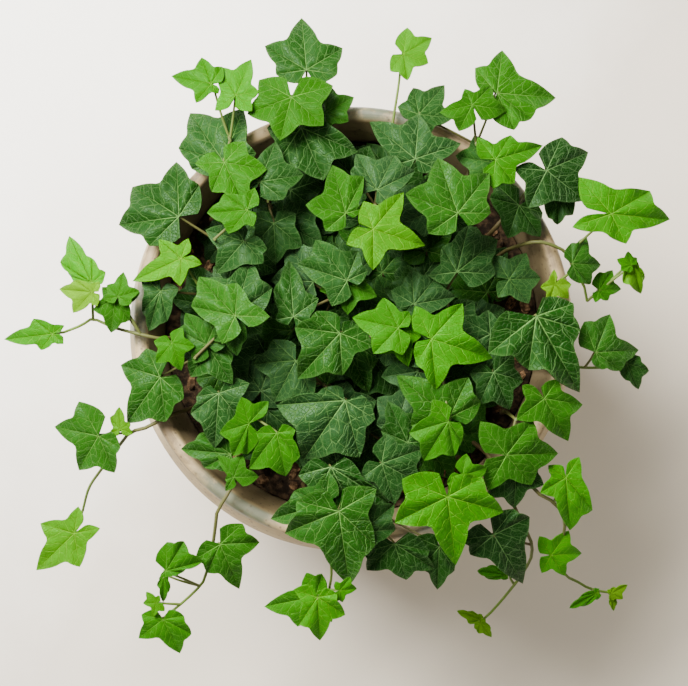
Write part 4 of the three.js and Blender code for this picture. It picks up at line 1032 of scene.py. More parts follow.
@dataclass(frozen=True)
class LeafFinish:
    """Ivy leaf: dark to lime green by its youth, with pale veins in a fine net and a painted sheen
    on old leaves.
    """

    side: LeafSide
    roughness: float
    lamina: Tones
    veins: Tones
    groove: float
    gloss: float
    gloss_tint: Colour = (0.55, 1.0, 0.5)
    puckers: float = 4.0
    # Painted sheen: a bluish grey mixed into old leaves' colour that stands for reflected light.
    painted_sheen: Colour = (0.0130, 0.0420, 0.0130)
    rung_gap: float = 0.58
    branch_share: float = 0.72
    fork_share: float = 0.62
    mesh_share: float = 0.28

    @staticmethod
    def cells(sheet: Sheet, place: Socket, scale: float, width: float) -> Socket:
        """Draws the thin borders between irregular cells.

        Args:
            sheet: the node sheet.
            place: the place that they are read at.
            scale: how small the cells are.
            width: how wide the borders are.

        Returns:
            1 in the middle of a border and 0 off it.
        """
        values = {"Vector": place, "Scale": scale}
        kind = "ShaderNodeTexVoronoi"
        net = sheet.node(kind, values, feature="DISTANCE_TO_EDGE", voronoi_dimensions="2D")
        depth = sheet.math("SUBTRACT", width, net.outputs["Distance"])
        return sheet.math("DIVIDE", depth, width, clamp=True)

    def make(self) -> bpy.types.Material:
        """Builds the material.

        Returns:
            The material, for blades with a Lobe map and their youth, luck and reach.
        """
        sheet = Sheet(self.side.value)
        calc = sheet.math
        youth, luck, reach = (sheet.attribute(name) for name in ("youth", "luck", "reach"))
        # The place on the lobe, along its vein and across it, a little bent.
        lobe = sheet.node("ShaderNodeUVMap", uv_map="Lobe").outputs[0]
        lobe_x, lobe_y, _ = sheet.parts(lobe)
        wander = calc("SUBTRACT", sheet.noise(lobe, 1.3, 2.0), 0.5)
        shake = calc("SUBTRACT", sheet.noise(lobe, 4.0, 2.0), 0.5)
        along = calc("MULTIPLY_ADD", wander, 0.34, lobe_x)
        along = calc("MULTIPLY_ADD", shake, 0.1, along)
        across = calc("MULTIPLY_ADD", wander, 0.05, lobe_y)
        aside = calc("ABSOLUTE", across)
        # The main vein, and branches that leave it in turn on its two sides.
        half = calc("MULTIPLY_ADD", youth, -0.012, 0.046)
        half = calc("MULTIPLY_ADD", reach, -0.025, half)
        main = calc("DIVIDE", calc("SUBTRACT", half, aside), 0.024, clamp=True)
        side_step = calc("MULTIPLY", calc("GREATER_THAN", across, 0.0), 0.27)
        ladder = calc("ADD", calc("SUBTRACT", along, aside), side_step)
        ladder = calc("FRACT", calc("DIVIDE", ladder, self.rung_gap))
        rung = calc("ABSOLUTE", calc("SUBTRACT", ladder, 0.5))
        thin = calc("MULTIPLY_ADD", reach, -0.03, 0.066)
        branch = calc("DIVIDE", calc("SUBTRACT", thin, rung), 0.035, clamp=True)
        branch = calc("MULTIPLY", branch, sheet.span(reach, 0.04, 0.16))
        # The nets of finer veins, which show best on old leaves.
        bent = sheet.joined(calc("MULTIPLY_ADD", aside, -0.6, along), across)
        forks = self.cells(sheet, bent, 2.3, 0.055)
        mesh = self.cells(sheet, lobe, 6.0, 0.08)
        old = calc("MULTIPLY_ADD", youth, -0.6, 1.0)
        old = calc("MULTIPLY", old, calc("MULTIPLY_ADD", luck, 0.5, 0.65))
        pale = calc("MAXIMUM", main, calc("MULTIPLY", branch, self.branch_share))
        for net, share in ((forks, self.fork_share), (mesh, self.mesh_share)):
            net = calc("MULTIPLY", calc("MULTIPLY", net, old), share)
            pale = calc("MAXIMUM", pale, net)
        # The green, with blotches, patches of painted sheen that stand for light reflected from old
        # leaves, and a paler margin.
        blotch = sheet.noise(sheet.place, 95.0, 3.0)
        shade = calc("MULTIPLY_ADD", blotch, 0.55, calc("MULTIPLY_ADD", luck, 0.34, 0.56))
        body = sheet.mix(1.0, sheet.ramp(youth, self.lamina), shade, "MULTIPLY")
        # Painted sheen: the bluish grey goes in patches on old leaves with high luck, standing for
        # reflected light.
        painted_sheen = calc("MULTIPLY_ADD", luck, 1.5, -0.25)
        painted_sheen = calc("MULTIPLY_ADD", youth, -2.2, painted_sheen, clamp=True)
        painted_sheen = calc("MULTIPLY", painted_sheen, sheet.span(blotch, 0.3, 0.62, 0.5, 1.0))
        body = sheet.mix(painted_sheen, body, self.painted_sheen)
        edge = calc("MULTIPLY", sheet.span(reach, 0.9, 1.0), 0.14)
        vein = sheet.ramp(youth, self.veins)
        sheet.set(Base_Color=sheet.mix(pale, sheet.mix(edge, body, vein), vein))
        patchy = sheet.noise(sheet.place, 260.0, 2.0)
        sheet.set(Roughness=calc("MULTIPLY_ADD", patchy, 0.16, self.roughness - 0.08))
        sheet.set(Specular_IOR_Level=self.gloss, Specular_Tint=self.gloss_tint)
        # Sunk veins and puckers.
        relief = calc("MAXIMUM", main, calc("MULTIPLY", branch, 0.6))
        relief = calc("MULTIPLY", relief, self.groove)
        nets = calc("MAXIMUM", forks, mesh)
        relief = calc("MULTIPLY_ADD", nets, 0.4 * self.groove, relief)
        for scale, strength in ((150.0, 1.0), (62.0, self.puckers)):
            relief = calc("MULTIPLY_ADD", sheet.noise(sheet.place, scale, 1.0), strength, relief)
        sheet.bump(relief, 0.8, 0.001)
        return sheet.material


LEAF_TONES: Tones = (
    (0.0, (0.0026, 0.0230, 0.0012)),
    (0.25, (0.0045, 0.0380, 0.0012)),
    (0.5, (0.0105, 0.0710, 0.0012)),
    (0.75, (0.0180, 0.1220, 0.0008)),
    (0.9, (0.0250, 0.1680, 0.0004)),
    (1.0, (0.0850, 0.2150, 0.0012)),
)
VEIN_TONES: Tones = (
    (0.0, (0.090, 0.185, 0.058)),
    (0.45, (0.095, 0.235, 0.034)),
    (0.8, (0.100, 0.330, 0.014)),
    (1.0, (0.180, 0.390, 0.014)),
)
UNDER_TONES: Tones = (
    (0.0, (0.030, 0.075, 0.020)),
    (0.5, (0.050, 0.130, 0.015)),
    (1.0, (0.120, 0.280, 0.010)),
)
UNDER_VEIN_TONES: Tones = ((0.0, (0.090, 0.160, 0.050)), (1.0, (0.200, 0.360, 0.030)))
LEAF_OLD = LeafFinish(LeafSide.OLD, 0.44, LEAF_TONES, VEIN_TONES, -1.0, 0.16, (0.6, 1.0, 0.56))
LEAF_YOUNG = LeafFinish(LeafSide.YOUNG, 0.42, LEAF_TONES, VEIN_TONES, -1.0, 0.12, (0.4, 1.0, 0.25))
LEAF_UNDER = LeafFinish(LeafSide.UNDER, 0.62, UNDER_TONES, UNDER_VEIN_TONES, 0.8, 0.08)


@dataclass(frozen=True)
class StemFinish:
    """Ivy stem: brown where it is old, then reddish olive, and green where it is young."""

    stops: Tones = (
        (0.0, (0.050, 0.032, 0.014)),
        (0.35, (0.070, 0.052, 0.019)),
        (0.65, (0.080, 0.095, 0.022)),
        (1.0, (0.100, 0.190, 0.020)),
    )
    spot: Colour = (0.09, 0.05, 0.03)

    def make(self) -> bpy.types.Material:
        """Builds the material.

        Returns:
            The material, for stalks that carry their youth.
        """
        sheet = Sheet("stem")
        grain = sheet.noise(sheet.place, 620.0, 4.0)
        youth = sheet.math("SUBTRACT", grain, 0.5)
        youth = sheet.math("MULTIPLY_ADD", youth, 0.3, sheet.attribute("youth"))
        spots = sheet.span(sheet.noise(sheet.place, 1400.0, 2.0), 0.58, 0.7)
        spots = sheet.math("MULTIPLY", spots, 0.45)
        sheet.set(Base_Color=sheet.mix(spots, sheet.ramp(youth, self.stops), self.spot))
        sheet.set(Roughness=sheet.math("MULTIPLY_ADD", grain, 0.2, 0.45), Specular_IOR_Level=0.2)
        sheet.bump(grain, 0.4, 0.0004)
        return sheet.material


@dataclass(frozen=True)
class StonewareFinish:
    """Weathered stoneware: a cream slip over brownish clay, with soft grey-green glaze patches."""

    cream: Colour = (0.300, 0.216, 0.105)
    pale: Colour = (0.450, 0.335, 0.170)
    clay: Colour = (0.085, 0.055, 0.027)
    # Painted shade: the darker colour of the inner wall, for the shadow in the pot's hollow.
    inside: Colour = (0.170, 0.128, 0.062)
    speck: Colour = (0.06, 0.038, 0.022)
    glaze: Colour = (0.070, 0.090, 0.058)
    patches: tuple[tuple[Point3, float], ...] = (
        ((0.010, 0.112, 0.184), 0.024),
        ((-0.112, 0.004, 0.184), 0.020),
        ((-0.062, -0.092, 0.184), 0.026),
        ((0.092, 0.068, 0.184), 0.018),
        ((0.050, -0.108, 0.172), 0.022),
        ((-0.118, 0.010, 0.150), 0.020),
    )

    def glazed(self, sheet: Sheet, cloud: Socket) -> Socket:
        """Finds where the glaze patches are.

        Args:
            sheet: the node sheet.
            cloud: the noise that frays their edges.

        Returns:
            1 inside a patch and 0 outside.
        """
        fray = sheet.math("MULTIPLY", sheet.math("SUBTRACT", cloud, 0.5), 0.05)
        spread: Optional[Socket] = None
        for centre, radius in self.patches:
            values = {0: sheet.place, 1: centre}
            away = sheet.node("ShaderNodeVectorMath", values, operation="DISTANCE")
            near = sheet.math("ADD", away.outputs["Value"], fray)
            one = sheet.span(near, radius * 1.15, radius * 0.55)
            spread = one if spread is None else sheet.math("MAXIMUM", spread, one)
        return spread

    def make(self) -> bpy.types.Material:
        """Builds the material.

        Returns:
            The material, for the pot at its place in the frame.
        """
        sheet = Sheet("stoneware")
        x, y, z = sheet.parts(sheet.place)
        flat = sheet.joined(x, y)
        far = sheet.node("ShaderNodeVectorMath", {0: flat}, operation="LENGTH").outputs["Value"]
        cloud = sheet.noise(sheet.place, 16.0, 5.0, 0.62)
        fine = sheet.noise(sheet.place, 120.0, 5.0, 0.65)
        colour = sheet.mix(sheet.span(cloud, 0.38, 0.66), self.cream, self.pale)
        # Streaks that run round the pot, strongest on the lip.
        around = [sheet.math("MULTIPLY", part, 13.0) for part in (x, y)]
        climb = sheet.math("MULTIPLY", sheet.math("ADD", z, far), 240.0)
        streaks = sheet.noise(sheet.joined(*around, climb), 1.0, 5.0, 0.6)
        worn = sheet.math("MULTIPLY_ADD", fine, 0.35, sheet.math("MULTIPLY", streaks, 0.75))
        wear = sheet.span(z, 0.165, 0.182, 0.2, 0.75)
        worn = sheet.math("MULTIPLY", sheet.span(worn, 0.5, 0.68), wear)
        colour = sheet.mix(worn, colour, self.clay)
        # Glaze patches, and painted shade on the inner wall: the cream darkened where the pot's
        # hollow lies in shadow.
        spread = sheet.span(fine, 0.3, 0.5, 0.35, 0.85)
        spread = sheet.math("MULTIPLY", self.glazed(sheet, cloud), spread)
        colour = sheet.mix(spread, colour, self.glaze)
        # Painted shade: darken the inner wall above the soil.
        inner = sheet.math("MULTIPLY", sheet.span(far, 0.1085, 0.1068), sheet.span(z, 0.120, 0.150))
        colour = sheet.mix(inner, colour, self.inside)
        # Grit and fine specks.
        grit = sheet.span(sheet.noise(sheet.place, 210.0, 3.0, 0.5), 0.60, 0.68)
        colour = sheet.mix(sheet.math("MULTIPLY", grit, 0.45), colour, self.clay)
        specks = sheet.node("ShaderNodeTexVoronoi", {"Vector": sheet.place, "Scale": 260.0})
        dots = sheet.math("LESS_THAN", specks.outputs["Distance"], 0.17)
        colour = sheet.mix(sheet.math("MULTIPLY", dots, 0.55), colour, self.speck)
        roughness = sheet.math("MULTIPLY_ADD", spread, -0.22, 0.64)
        sheet.set(Base_Color=colour, Roughness=roughness)
        sheet.bump(sheet.math("MULTIPLY_ADD", fine, 0.6, streaks), 0.3, 0.0012)
        return sheet.material


@dataclass(frozen=True)
class EarthFinish:
    """Potting mix or bark: dark browns that differ from piece to piece."""

    name: str
    dark: Colour
    light: Colour
    scale: float

    def make(self) -> bpy.types.Material:
        """Builds the material.

        Returns:
            The material.
        """
        sheet = Sheet(self.name)
        grain = sheet.noise(sheet.place, self.scale, 6.0, 0.7)
        clods = sheet.noise(sheet.place, self.scale * 0.28, 3.0)
        colour = sheet.mix(sheet.span(grain, 0.4, 0.68), self.dark, self.light)
        colour = sheet.mix(sheet.span(clods, 0.5, 0.62, 0.0, 0.7), colour, self.dark)
        sheet.set(Base_Color=colour, Roughness=0.93, Specular_IOR_Level=0.12)
        sheet.bump(sheet.math("MULTIPLY_ADD", grain, 0.6, clods), 0.8, 0.002)
        return sheet.material


SOIL_FINISH = EarthFinish("potting_mix", (0.011, 0.007, 0.004), (0.085, 0.052, 0.026), 260.0)
BARK_FINISH = EarthFinish("bark", (0.040, 0.022, 0.010), (0.340, 0.195, 0.095), 420.0)


@dataclass(frozen=True)
class FloorFinish:
    """A plain pale floor with painted light: paler towards the window, and a little warmer and
    darker away from it.
    """

    painted_light_tones: Tones = (
        (0.0, (0.970, 0.950, 0.890)),
        (0.5, (0.650, 0.590, 0.500)),
        (1.0, (0.760, 0.680, 0.545)),
    )
    reach: float = 0.42

    def make(self) -> bpy.types.Material:
        """Builds the material.

        Returns:
            The material.
        """
        sheet = Sheet("floor")
        x, y, _ = sheet.parts(sheet.place)
        cloud = sheet.math("SUBTRACT", sheet.noise(sheet.place, 9.0, 5.0), 0.5)
        # Painted light: the colour runs from pale at the upper left, by the window, to darker and
        # warmer tones away from it, its border shifted a little by noise.
        share = sheet.math("MULTIPLY_ADD", cloud, 0.3, sheet.math("SUBTRACT", x, y))
        share = sheet.span(share, -self.reach, self.reach)
        sheet.set(Base_Color=sheet.ramp(share, self.painted_light_tones), Roughness=0.9)
        return sheet.material


def deselect() -> None:
    """Leaves object mode with nothing selected."""
    if bpy.context.object and bpy.context.object.mode != "OBJECT":
        bpy.ops.object.mode_set(mode="OBJECT")
    bpy.ops.object.select_all(action="DESELECT")


def make_active(piece: bpy.types.Object) -> None:
    """Selects one object alone.

    Args:
        piece: the object.
    """
    deselect()
    piece.select_set(True)
    bpy.context.view_layer.objects.active = piece


@contextmanager
def editing() -> Iterator[None]:
    """Opens the active object in edit mode for the lines under it."""
    bpy.ops.object.mode_set(mode="EDIT")
    yield
    bpy.ops.object.mode_set(mode="OBJECT")


def thicken(piece: bpy.types.Object, depth: float, under: int = 0) -> None:
    """Gives a sheet its thickness, below its face.

    Args:
        piece: the sheet.
        depth: the thickness, in mm.
        under: how far the underside's material is from the face's, in slots.
    """
    make_active(piece)
    solidify = piece.modifiers.new("thickness", "SOLIDIFY")
    solidify.thickness = depth * MM
    solidify.offset = -1
    solidify.material_offset = under
    bpy.ops.object.modifier_apply(modifier=solidify.name)


def join(pieces: list[bpy.types.Object], name: str) -> bpy.types.Object:
    """Joins objects into one.

    Args:
        pieces: the objects, at least one.
        name: the name of the whole.

    Returns:
        The joined object.
    """
    make_active(pieces[0])
    for piece in pieces:
        piece.select_set(True)
    if len(pieces) > 1:
        bpy.ops.object.join()
    whole = bpy.context.object
    whole.name = name
    whole.data.name = name
    return whole


def copy_of(template: bpy.types.Object, coords: np.ndarray) -> bpy.types.Object:
    """Copies a template, with a mesh of its own.

    Args:
        template: the object to copy.
        coords: the new places of its points, in metres.

    Returns:
        The copy.
    """
    mesh = template.data.copy()
    mesh.vertices.foreach_set("co", np.ascontiguousarray(coords, dtype=np.float32).ravel())
    piece = bpy.data.objects.new(template.name, mesh)
    bpy.context.collection.objects.link(piece)
    return piece


def read_values(items: Sequence, name: str, width: int = 1, kind: type = np.float32) -> np.ndarray:
    """Reads a value of each point, face or corner of a mesh.

    Args:
        items: the points, faces, corners or attribute data.
        name: the value's name.
        width: how many numbers it has.
        kind: np.float32 or np.int32.

    Returns:
        The numbers, with a row for each item where the width isn't 1.
    """
    values = np.empty(len(items) * width, dtype=kind)
    items.foreach_get(name, values)
    return values.reshape(-1, width) if width > 1 else values


def write_attribute(mesh: bpy.types.Mesh, name: str, values: np.ndarray) -> None:
    """Stores a number for each point of a mesh."""
    made = mesh.attributes.new(name, "FLOAT", "POINT")
    made.data.foreach_set("value", np.ascontiguousarray(values, dtype=np.float32))


def to_space(plan: np.ndarray) -> np.ndarray:
    """Moves points of the plan along their lines of sight to their heights.

    Args:
        plan: the points' plan and heights, in mm.

    Returns:
        The points, in metres.
    """
    share = (EYE[2] - plan[:, 2]) / (EYE[2] - POT_HEIGHT)
    x, y = (EYE[n] + (plan[:, n] - EYE[n]) * share for n in range(2))
    return np.stack((x, y, plan[:, 2]), axis=1) * MM


@dataclass
class BladeMaker:
    """Grows blades from one fan-shaped sheet, whose spokes run from the base to the margin.

    The margin has a side from each lobe's tip to the notch beside it, and each side has steps.
    A blade over the soil stays under the most youth, and luck sets its tone and its painted sheen
    apart from others.
    """

    sides: int = 10
    steps: int = 6
    rings: int = 9
    fullness: float = 0.088
    end_fullness: float = 1.3
    pleat: float = 0.165
    # This seed was chosen so that luck runs with how bright and sheened each leaf looks in its
    # light, so luck's tone is partly painted light.
    luck_seed: int = 174810
    most_youth: float = 0.92
    template: bpy.types.Object = field(init=False)
    spokes: np.ndarray = field(init=False)
    shares: np.ndarray = field(init=False)
    corner_points: np.ndarray = field(init=False)
    corner_lobes: np.ndarray = field(init=False)

    def __post_init__(self) -> None:
        """Models the sheet and reads which spoke, ring and lobe its parts belong to."""
        columns = self.sides * self.steps
        deselect()
        bpy.ops.mesh.primitive_grid_add(x_subdivisions=columns, y_subdivisions=self.rings, size=1)
        self.template = bpy.context.object
        self.template.name = "blade"
        mesh = self.template.data
        at = read_values(mesh.vertices, "co", 3)
        rings = np.round((at[:, 1] + 0.5) * self.rings)
        write_attribute(mesh, "spoke", np.round((at[:, 0] + 0.5) * columns))
        write_attribute(mesh, "ring", rings)
        middles = read_values(mesh.polygons, "center", 3)
        column = mesh.attributes.new("column", "INT", "FACE")
        column.data.foreach_set("value", np.floor((middles[:, 0] + 0.5) * columns).astype(np.int32))
        with editing():
            bpy.ops.mesh.select_mode(type="VERT")
            bpy.ops.mesh.select_all(action="DESELECT")
        for number in np.nonzero(rings == 0)[0]:
            mesh.vertices[int(number)].select = True
        with editing():
            bpy.ops.mesh.merge(type="CENTER")
            bpy.ops.mesh.select_all(action="SELECT")
            bpy.ops.mesh.flip_normals()
        mesh.uv_layers[0].name = "Lobe"
        rings = read_values(mesh.attributes["ring"].data, "value")
        self.spokes = np.round(read_values(mesh.attributes["spoke"].data, "value")).astype(int)
        self.spokes[rings < 0.5] = 0
        self.shares = rings / self.rings
        self.corner_points = read_values(mesh.loops, "vertex_index", kind=np.int32)
        lobes = read_values(mesh.attributes["column"].data, "value", kind=np.int32)
        lobes //= 2 * self.steps
        corners = read_values(mesh.polygons, "loop_total", kind=np.int32)
        self.corner_lobes = np.repeat(lobes, corners)
        for name in ("spoke", "ring", "column"):
            mesh.attributes.remove(mesh.attributes[name])

    def margin(self, growth: Growth) -> tuple[np.ndarray, np.ndarray]:
        """Draws a leaf's margin from its outline.

        Args:
            growth: the leaf.

        Returns:
            The margin's points from the leaf's base in plan, and 1 where one lies between lobes.
        """
        outline = growth.shape.outline()[1:]
        corners = []
        ripe = 1 - 0.8 * growth.leaf.youth
        for i, (turn, length, between) in enumerate(outline):
            if between == 1:
                length *= 1 - ripe * (0.03 + 0.14 * draw(growth.number * 5 + i))
            corners.append(Vector(move((0.0, 0.0), growth.shape.heading + turn, length)))
        points: list[Point] = []
        betweens: list[float] = []
        last = self.sides - 1
        for i in range(self.sides):
            start, run = corners[i], corners[i + 1] - corners[i]
            out = Vector((run.y, -run.x))
            full = self.fullness * (self.end_fullness if i in (0, last) else 1.0)
            for step in range(self.steps + (i == last)):
                part = step / self.steps
                skew = part**0.8 if i % 2 == 0 else 1 - (1 - part) ** 0.8
                spot = start + run * part + out * full * math.sin(math.pi * skew)
                points.append((spot.x, spot.y))
                betweens.append(outline[i][2] + (outline[i + 1][2] - outline[i][2]) * part)
        drawn = np.array(points)
        lobe = 2 * self.steps
        for _ in range(2):
            for notch in range(lobe, self.sides * self.steps, lobe):
                before, near, after = (drawn[notch + n : notch + n + 3] for n in (-2, -1, 0))
                drawn[notch - 1 : notch + 2] = 0.25 * before + 0.5 * near + 0.25 * after
        return drawn, np.array(betweens)

    def heights(self, growth: Growth, flat: np.ndarray, ridge: np.ndarray) -> np.ndarray:
        """Pleats, curls and waves a blade.

        Args:
            growth: the leaf.
            flat: the points from the leaf's base in plan, in mm.
            ridge: 0 on a lobe's vein and 1 midway between two lobes.

        Returns:
            The height of each point, in mm.
        """
        number, size = growth.number, growth.shape.size
        length = np.hypot(flat[:, 0], flat[:, 1])
        turn = np.arctan2(flat[:, 1], flat[:, 0]) - growth.shape.heading
        reach, along, across = (length * part / size for part in (1.0, np.cos(turn), np.sin(turn)))
        place = flat + np.array(growth.leaf.base)
        away = np.hypot(place[:, 0], place[:, 1]) / DOME_RADIUS
        z = np.where(away < 1, DOME_HEIGHT * (1 - away**2), -2 * DOME_HEIGHT * (away - 1))
        tilt_to, tilt, curl, droop = growth.sway
        slope = tilt * length * np.cos(turn + growth.shape.heading - tilt_to)
        z = z - dome(*growth.leaf.base) + slope
        sink = curl * reach**2
        z += size * (self.pleat * ridge * reach - sink - droop * np.maximum(0, along) * along)
        wave = np.sin(turn * 7.0 + 6.28 * draw(number + 500)) + 0.6 * np.sin(turn * 13.0 + number)
        z += 0.018 * size * wave * self.shares**3
        swell = np.sin(along * 6.0 + 6.28 * draw(number + 800)) * np.cos(across * 5.0 + number)
        z += size * (0.022 * swell * self.shares - 0.22 * np.maximum(0, reach - 0.6) ** 2)
        return z + growth.height

    def grow(self, growth: Growth) -> bpy.types.Object:
        """Makes a leaf's blade.

        Args:
            growth: the leaf.

        Returns:
            The blade's upper face, as an object.
        """
        margin, betweens = self.margin(growth)
        shape, leaf = growth.shape, growth.leaf
        flat = margin[self.spokes] * self.shares[:, None]
        ridge = np.sin(0.5 * math.pi * betweens[self.spokes])
        height = self.heights(growth, flat, ridge)
        plan = np.column_stack((flat + np.array(leaf.base), height))
        piece = copy_of(self.template, to_space(plan))
        mesh = piece.data
        lobe_turns = np.array([lobe.turn for lobe in shape.lobes]) + shape.heading
        angles = lobe_turns[self.corner_lobes]
        corner = flat[self.corner_points] * 3 / shape.size
        uv = np.empty((len(angles), 2), dtype=np.float32)
        uv[:, 0] = corner[:, 0] * np.cos(angles) + corner[:, 1] * np.sin(angles)
        uv[:, 1] = corner[:, 1] * np.cos(angles) - corner[:, 0] * np.sin(angles)
        mesh.uv_layers["Lobe"].data.foreach_set("uv", uv.ravel())
        youth = leaf.youth if growth.shoot.course else min(leaf.youth, self.most_youth)
        luck = draw(growth.number + self.luck_seed)
        for name, value in (("youth", youth), ("luck", luck)):
            write_attribute(mesh, name, np.full(len(mesh.vertices), value))
        write_attribute(mesh, "reach", self.shares)
        return piece


@dataclass
class StalkMaker:
    """Grows stems and petioles from one slim cylinder, bent along their courses."""

    finish: bpy.types.Material
    sides: int = 8
    rings: int = 24
    template: bpy.types.Object = field(init=False)
    turns: np.ndarray = field(init=False)
    shares: np.ndarray = field(init=False)
    widths: np.ndarray = field(init=False)

    def __post_init__(self) -> None:
        """Models the cylinder."""
        deselect()
        bpy.ops.mesh.primitive_cylinder_add(
            vertices=self.sides, radius=1, depth=1, end_fill_type="NGON"
        )
        self.template = bpy.context.object
        self.template.name = "stalk"
        with editing():
            for k in range(1, self.rings):
                bpy.ops.mesh.select_all(action="SELECT")
                level = -0.5 + k / self.rings
                bpy.ops.mesh.bisect(plane_co=(0, 0, level), plane_no=(0, 0, 1))
        mesh = self.template.data
        at = read_values(mesh.vertices, "co", 3)
        self.turns = np.arctan2(at[:, 1], at[:, 0])
        self.shares = np.clip(at[:, 2] + 0.5, 0, 1)
        self.widths = np.hypot(at[:, 0], at[:, 1])
        while mesh.uv_layers:
            mesh.uv_layers.remove(mesh.uv_layers[0])

    @staticmethod
    def smooth(points: Sequence[Point3], count: int) -> np.ndarray:
        """Runs a smooth course through points.

        Args:
            points: the points, in mm.
            count: how many points to return.

        Returns:
            Points evenly spread along the course.
        """
        given = np.array(points, dtype=float)
        padded = np.vstack((2 * given[0] - given[1], given, 2 * given[-1] - given[-2]))
        course = []
        for i in range(len(given) - 1):
            a, b, c, d = padded[i : i + 4]
            square, cube = 2 * a - 5 * b + 4 * c - d, 3 * b - a - 3 * c + d
            for t in np.linspace(0, 1, 9)[: 9 if i == len(given) - 2 else 8]:
                course.append(0.5 * (2 * b + (c - a) * t + square * t**2 + cube * t**3))
        course = np.array(course)
        steps = np.concatenate(([0.0], np.cumsum(np.linalg.norm(np.diff(course, axis=0), axis=1))))
        wanted = np.linspace(0, steps[-1], count)
        return np.stack([np.interp(wanted, steps, course[:, n]) for n in range(3)], axis=1)

    def grow(self, points: Sequence[Point3], radii: Point, youth: Point) -> bpy.types.Object:
        """Bends a copy of the cylinder along a course.

        Args:
            points: the course, in mm.
            radii: the radius at its start and its end, in mm.
            youth: the youth at its start and its end.

        Returns:
            The stalk, as an object.
        """
        course = self.smooth(points, self.rings + 1)
        along = np.gradient(course, axis=0)
        along /= np.linalg.norm(along, axis=1)[:, None]
        side = np.cross((0.31, 0.17, 0.93), along[0])
        sides = []
        for tangent in along:
            side = side - tangent * np.dot(side, tangent)
            side /= np.linalg.norm(side)
            sides.append(side)
        sides = np.array(sides)
        ups = np.cross(along, sides)
        ring = np.round(self.shares * self.rings).astype(int)
        radius = radii[0] + (radii[1] - radii[0]) * self.shares
        spread = np.cos(self.turns)[:, None] * sides[ring] + np.sin(self.turns)[:, None] * ups[ring]
        places = course[ring] + spread * (radius * self.widths)[:, None]
        piece = copy_of(self.template, places * MM)
        piece.data.materials.append(self.finish)
        write_attribute(piece.data, "youth", youth[0] + (youth[1] - youth[0]) * self.shares)
        return piece


@dataclass
class Foliage:
    """All leafy stems and runners, each as one piece that stands for its node."""

    canopy: Canopy
    blades: BladeMaker
    stalks: StalkMaker
    old: bpy.types.Material
    young: bpy.types.Material
    under: bpy.types.Material
    thickness: float = 0.6
    young_from: float = 0.45
    smooth_angle: float = math.radians(50)

    def blades_of(self, growths: list[Growth], name: str) -> bpy.types.Object:
        """Grows a stem's blades and gives them their thickness.

        Args:
            growths: the stem's leaves.
            name: the piece's name.

        Returns:
            The blades, as one object.
        """
        blades = [self.blades.grow(growth) for growth in growths]
        faces = len(blades[0].data.polygons)
        piece = join(blades, name)
        mesh = piece.data
        mesh.materials.clear()
        for material in (self.old, self.under, self.young, self.under, self.stalks.finish):
            mesh.materials.append(material)
        slots = np.repeat([2 * (one.leaf.youth > self.young_from) for one in growths], faces)
        mesh.polygons.foreach_set("material_index", slots.astype(np.int32))
        thicken(piece, self.thickness, under=1)
        return piece

    def petiole(self, growth: Growth) -> bpy.types.Object:
        """Grows a leaf's petiole from its stem to the base of the blade.

        Args:
            growth: the leaf.

        Returns:
            The petiole, as an object.
        """
        green = 0.5 + 0.45 * growth.leaf.youth
        path = [in_space(*p) for p in [growth.neck, *growth.petiole]]
        return self.stalks.grow(path, (0.55, PETIOLE_RADIUS), (green, green - 0.15))

    def stem(self, shoot: Shoot, growths: list[Growth]) -> bpy.types.Object:
        """Grows the stem of a spray, or the whole course of a runner.

        Args:
            shoot: the leafy stem.
            growths: its leaves.

        Returns:
            The stem, as an object.
        """
        rx, ry = shoot.root
        ground = soil_top(rx, ry)
        path: list[Point3] = [(rx, ry, ground - ROOT_DEPTH), (rx, ry, ground + 2)]
        if shoot.course:
            path += [in_space(x, y, POT_HEIGHT + z) for x, y, z in shoot.course[1:]]
            return self.stalks.grow(path, (RUNNER_RADIUS * 1.05, RUNNER_RADIUS * 0.62), (0.2, 0.95))
        joins = [growth.petiole[2][2] for growth in growths]
        low, high = min(joins) - 1.5, max(joins) + 1.2
        top = in_space(*shoot.head, low)
        root_reach, head_reach = math.hypot(rx, ry), math.hypot(top[0], top[1])
        part, bend = 0.35, ground + 0.55 * (low - ground)
        if head_reach > 93:
            part = max(0.05, (89 - root_reach) / (head_reach - root_reach))
            bend = min(low - 1, POT_HEIGHT + 1)
        path.append((rx + part * (top[0] - rx), ry + part * (top[1] - ry), bend))
        path += [top, in_space(*shoot.head, high)]
        return self.stalks.grow(path, (STEM_RADIUS, STEM_RADIUS * 0.42), (0.05, 0.7))

    def build_shade(self) -> bpy.types.Object:
        """Builds the small dark leaves that stand in the shade close to the soil.

        Returns:
            The piece.
        """
        growths = self.canopy.low_leaves()
        pieces = [self.blades_of(growths, "shaded_leaves")]
        for growth in growths:
            bx, by = growth.leaf.base
            foot = move(growth.leaf.base, growth.shape.heading, -7.0)
            middle = (0.6 * bx + 0.4 * foot[0], 0.6 * by + 0.4 * foot[1], growth.height - 2.5)
            path = [in_space(*p) for p in (growth.neck, middle, (*foot, soil_top(*foot) - 1))]
            pieces.append(self.stalks.grow(path, (0.5, 0.7), (0.4, 0.2)))
        piece = join(pieces, "shaded_leaves")
        bpy.ops.object.shade_smooth_by_angle(angle=self.smooth_angle)
        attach(piece, BODY)
        return piece

    def build(self) -> list[bpy.types.Object]:
        """Builds every leafy stem.

        Returns:
            The pieces.
        """
        pieces = []
        for shoot in SPRAYS + RUNNERS:
            growths = self.canopy.of(shoot)
            leaves = self.blades_of(growths, f"{shoot.name}_leaves")
            stalks = [self.stem(shoot, growths), *(self.petiole(growth) for growth in growths)]
            piece = join([leaves, *stalks], f"{shoot.name}_leaves")
            bpy.ops.object.shade_smooth_by_angle(angle=self.smooth_angle)
            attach(piece, BODY)
            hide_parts(shoot.name)
            pieces.append(piece)
        pieces.append(self.build_shade())
        for template in (self.blades.template, self.stalks.template):
            bpy.data.objects.remove(template)
        return pieces


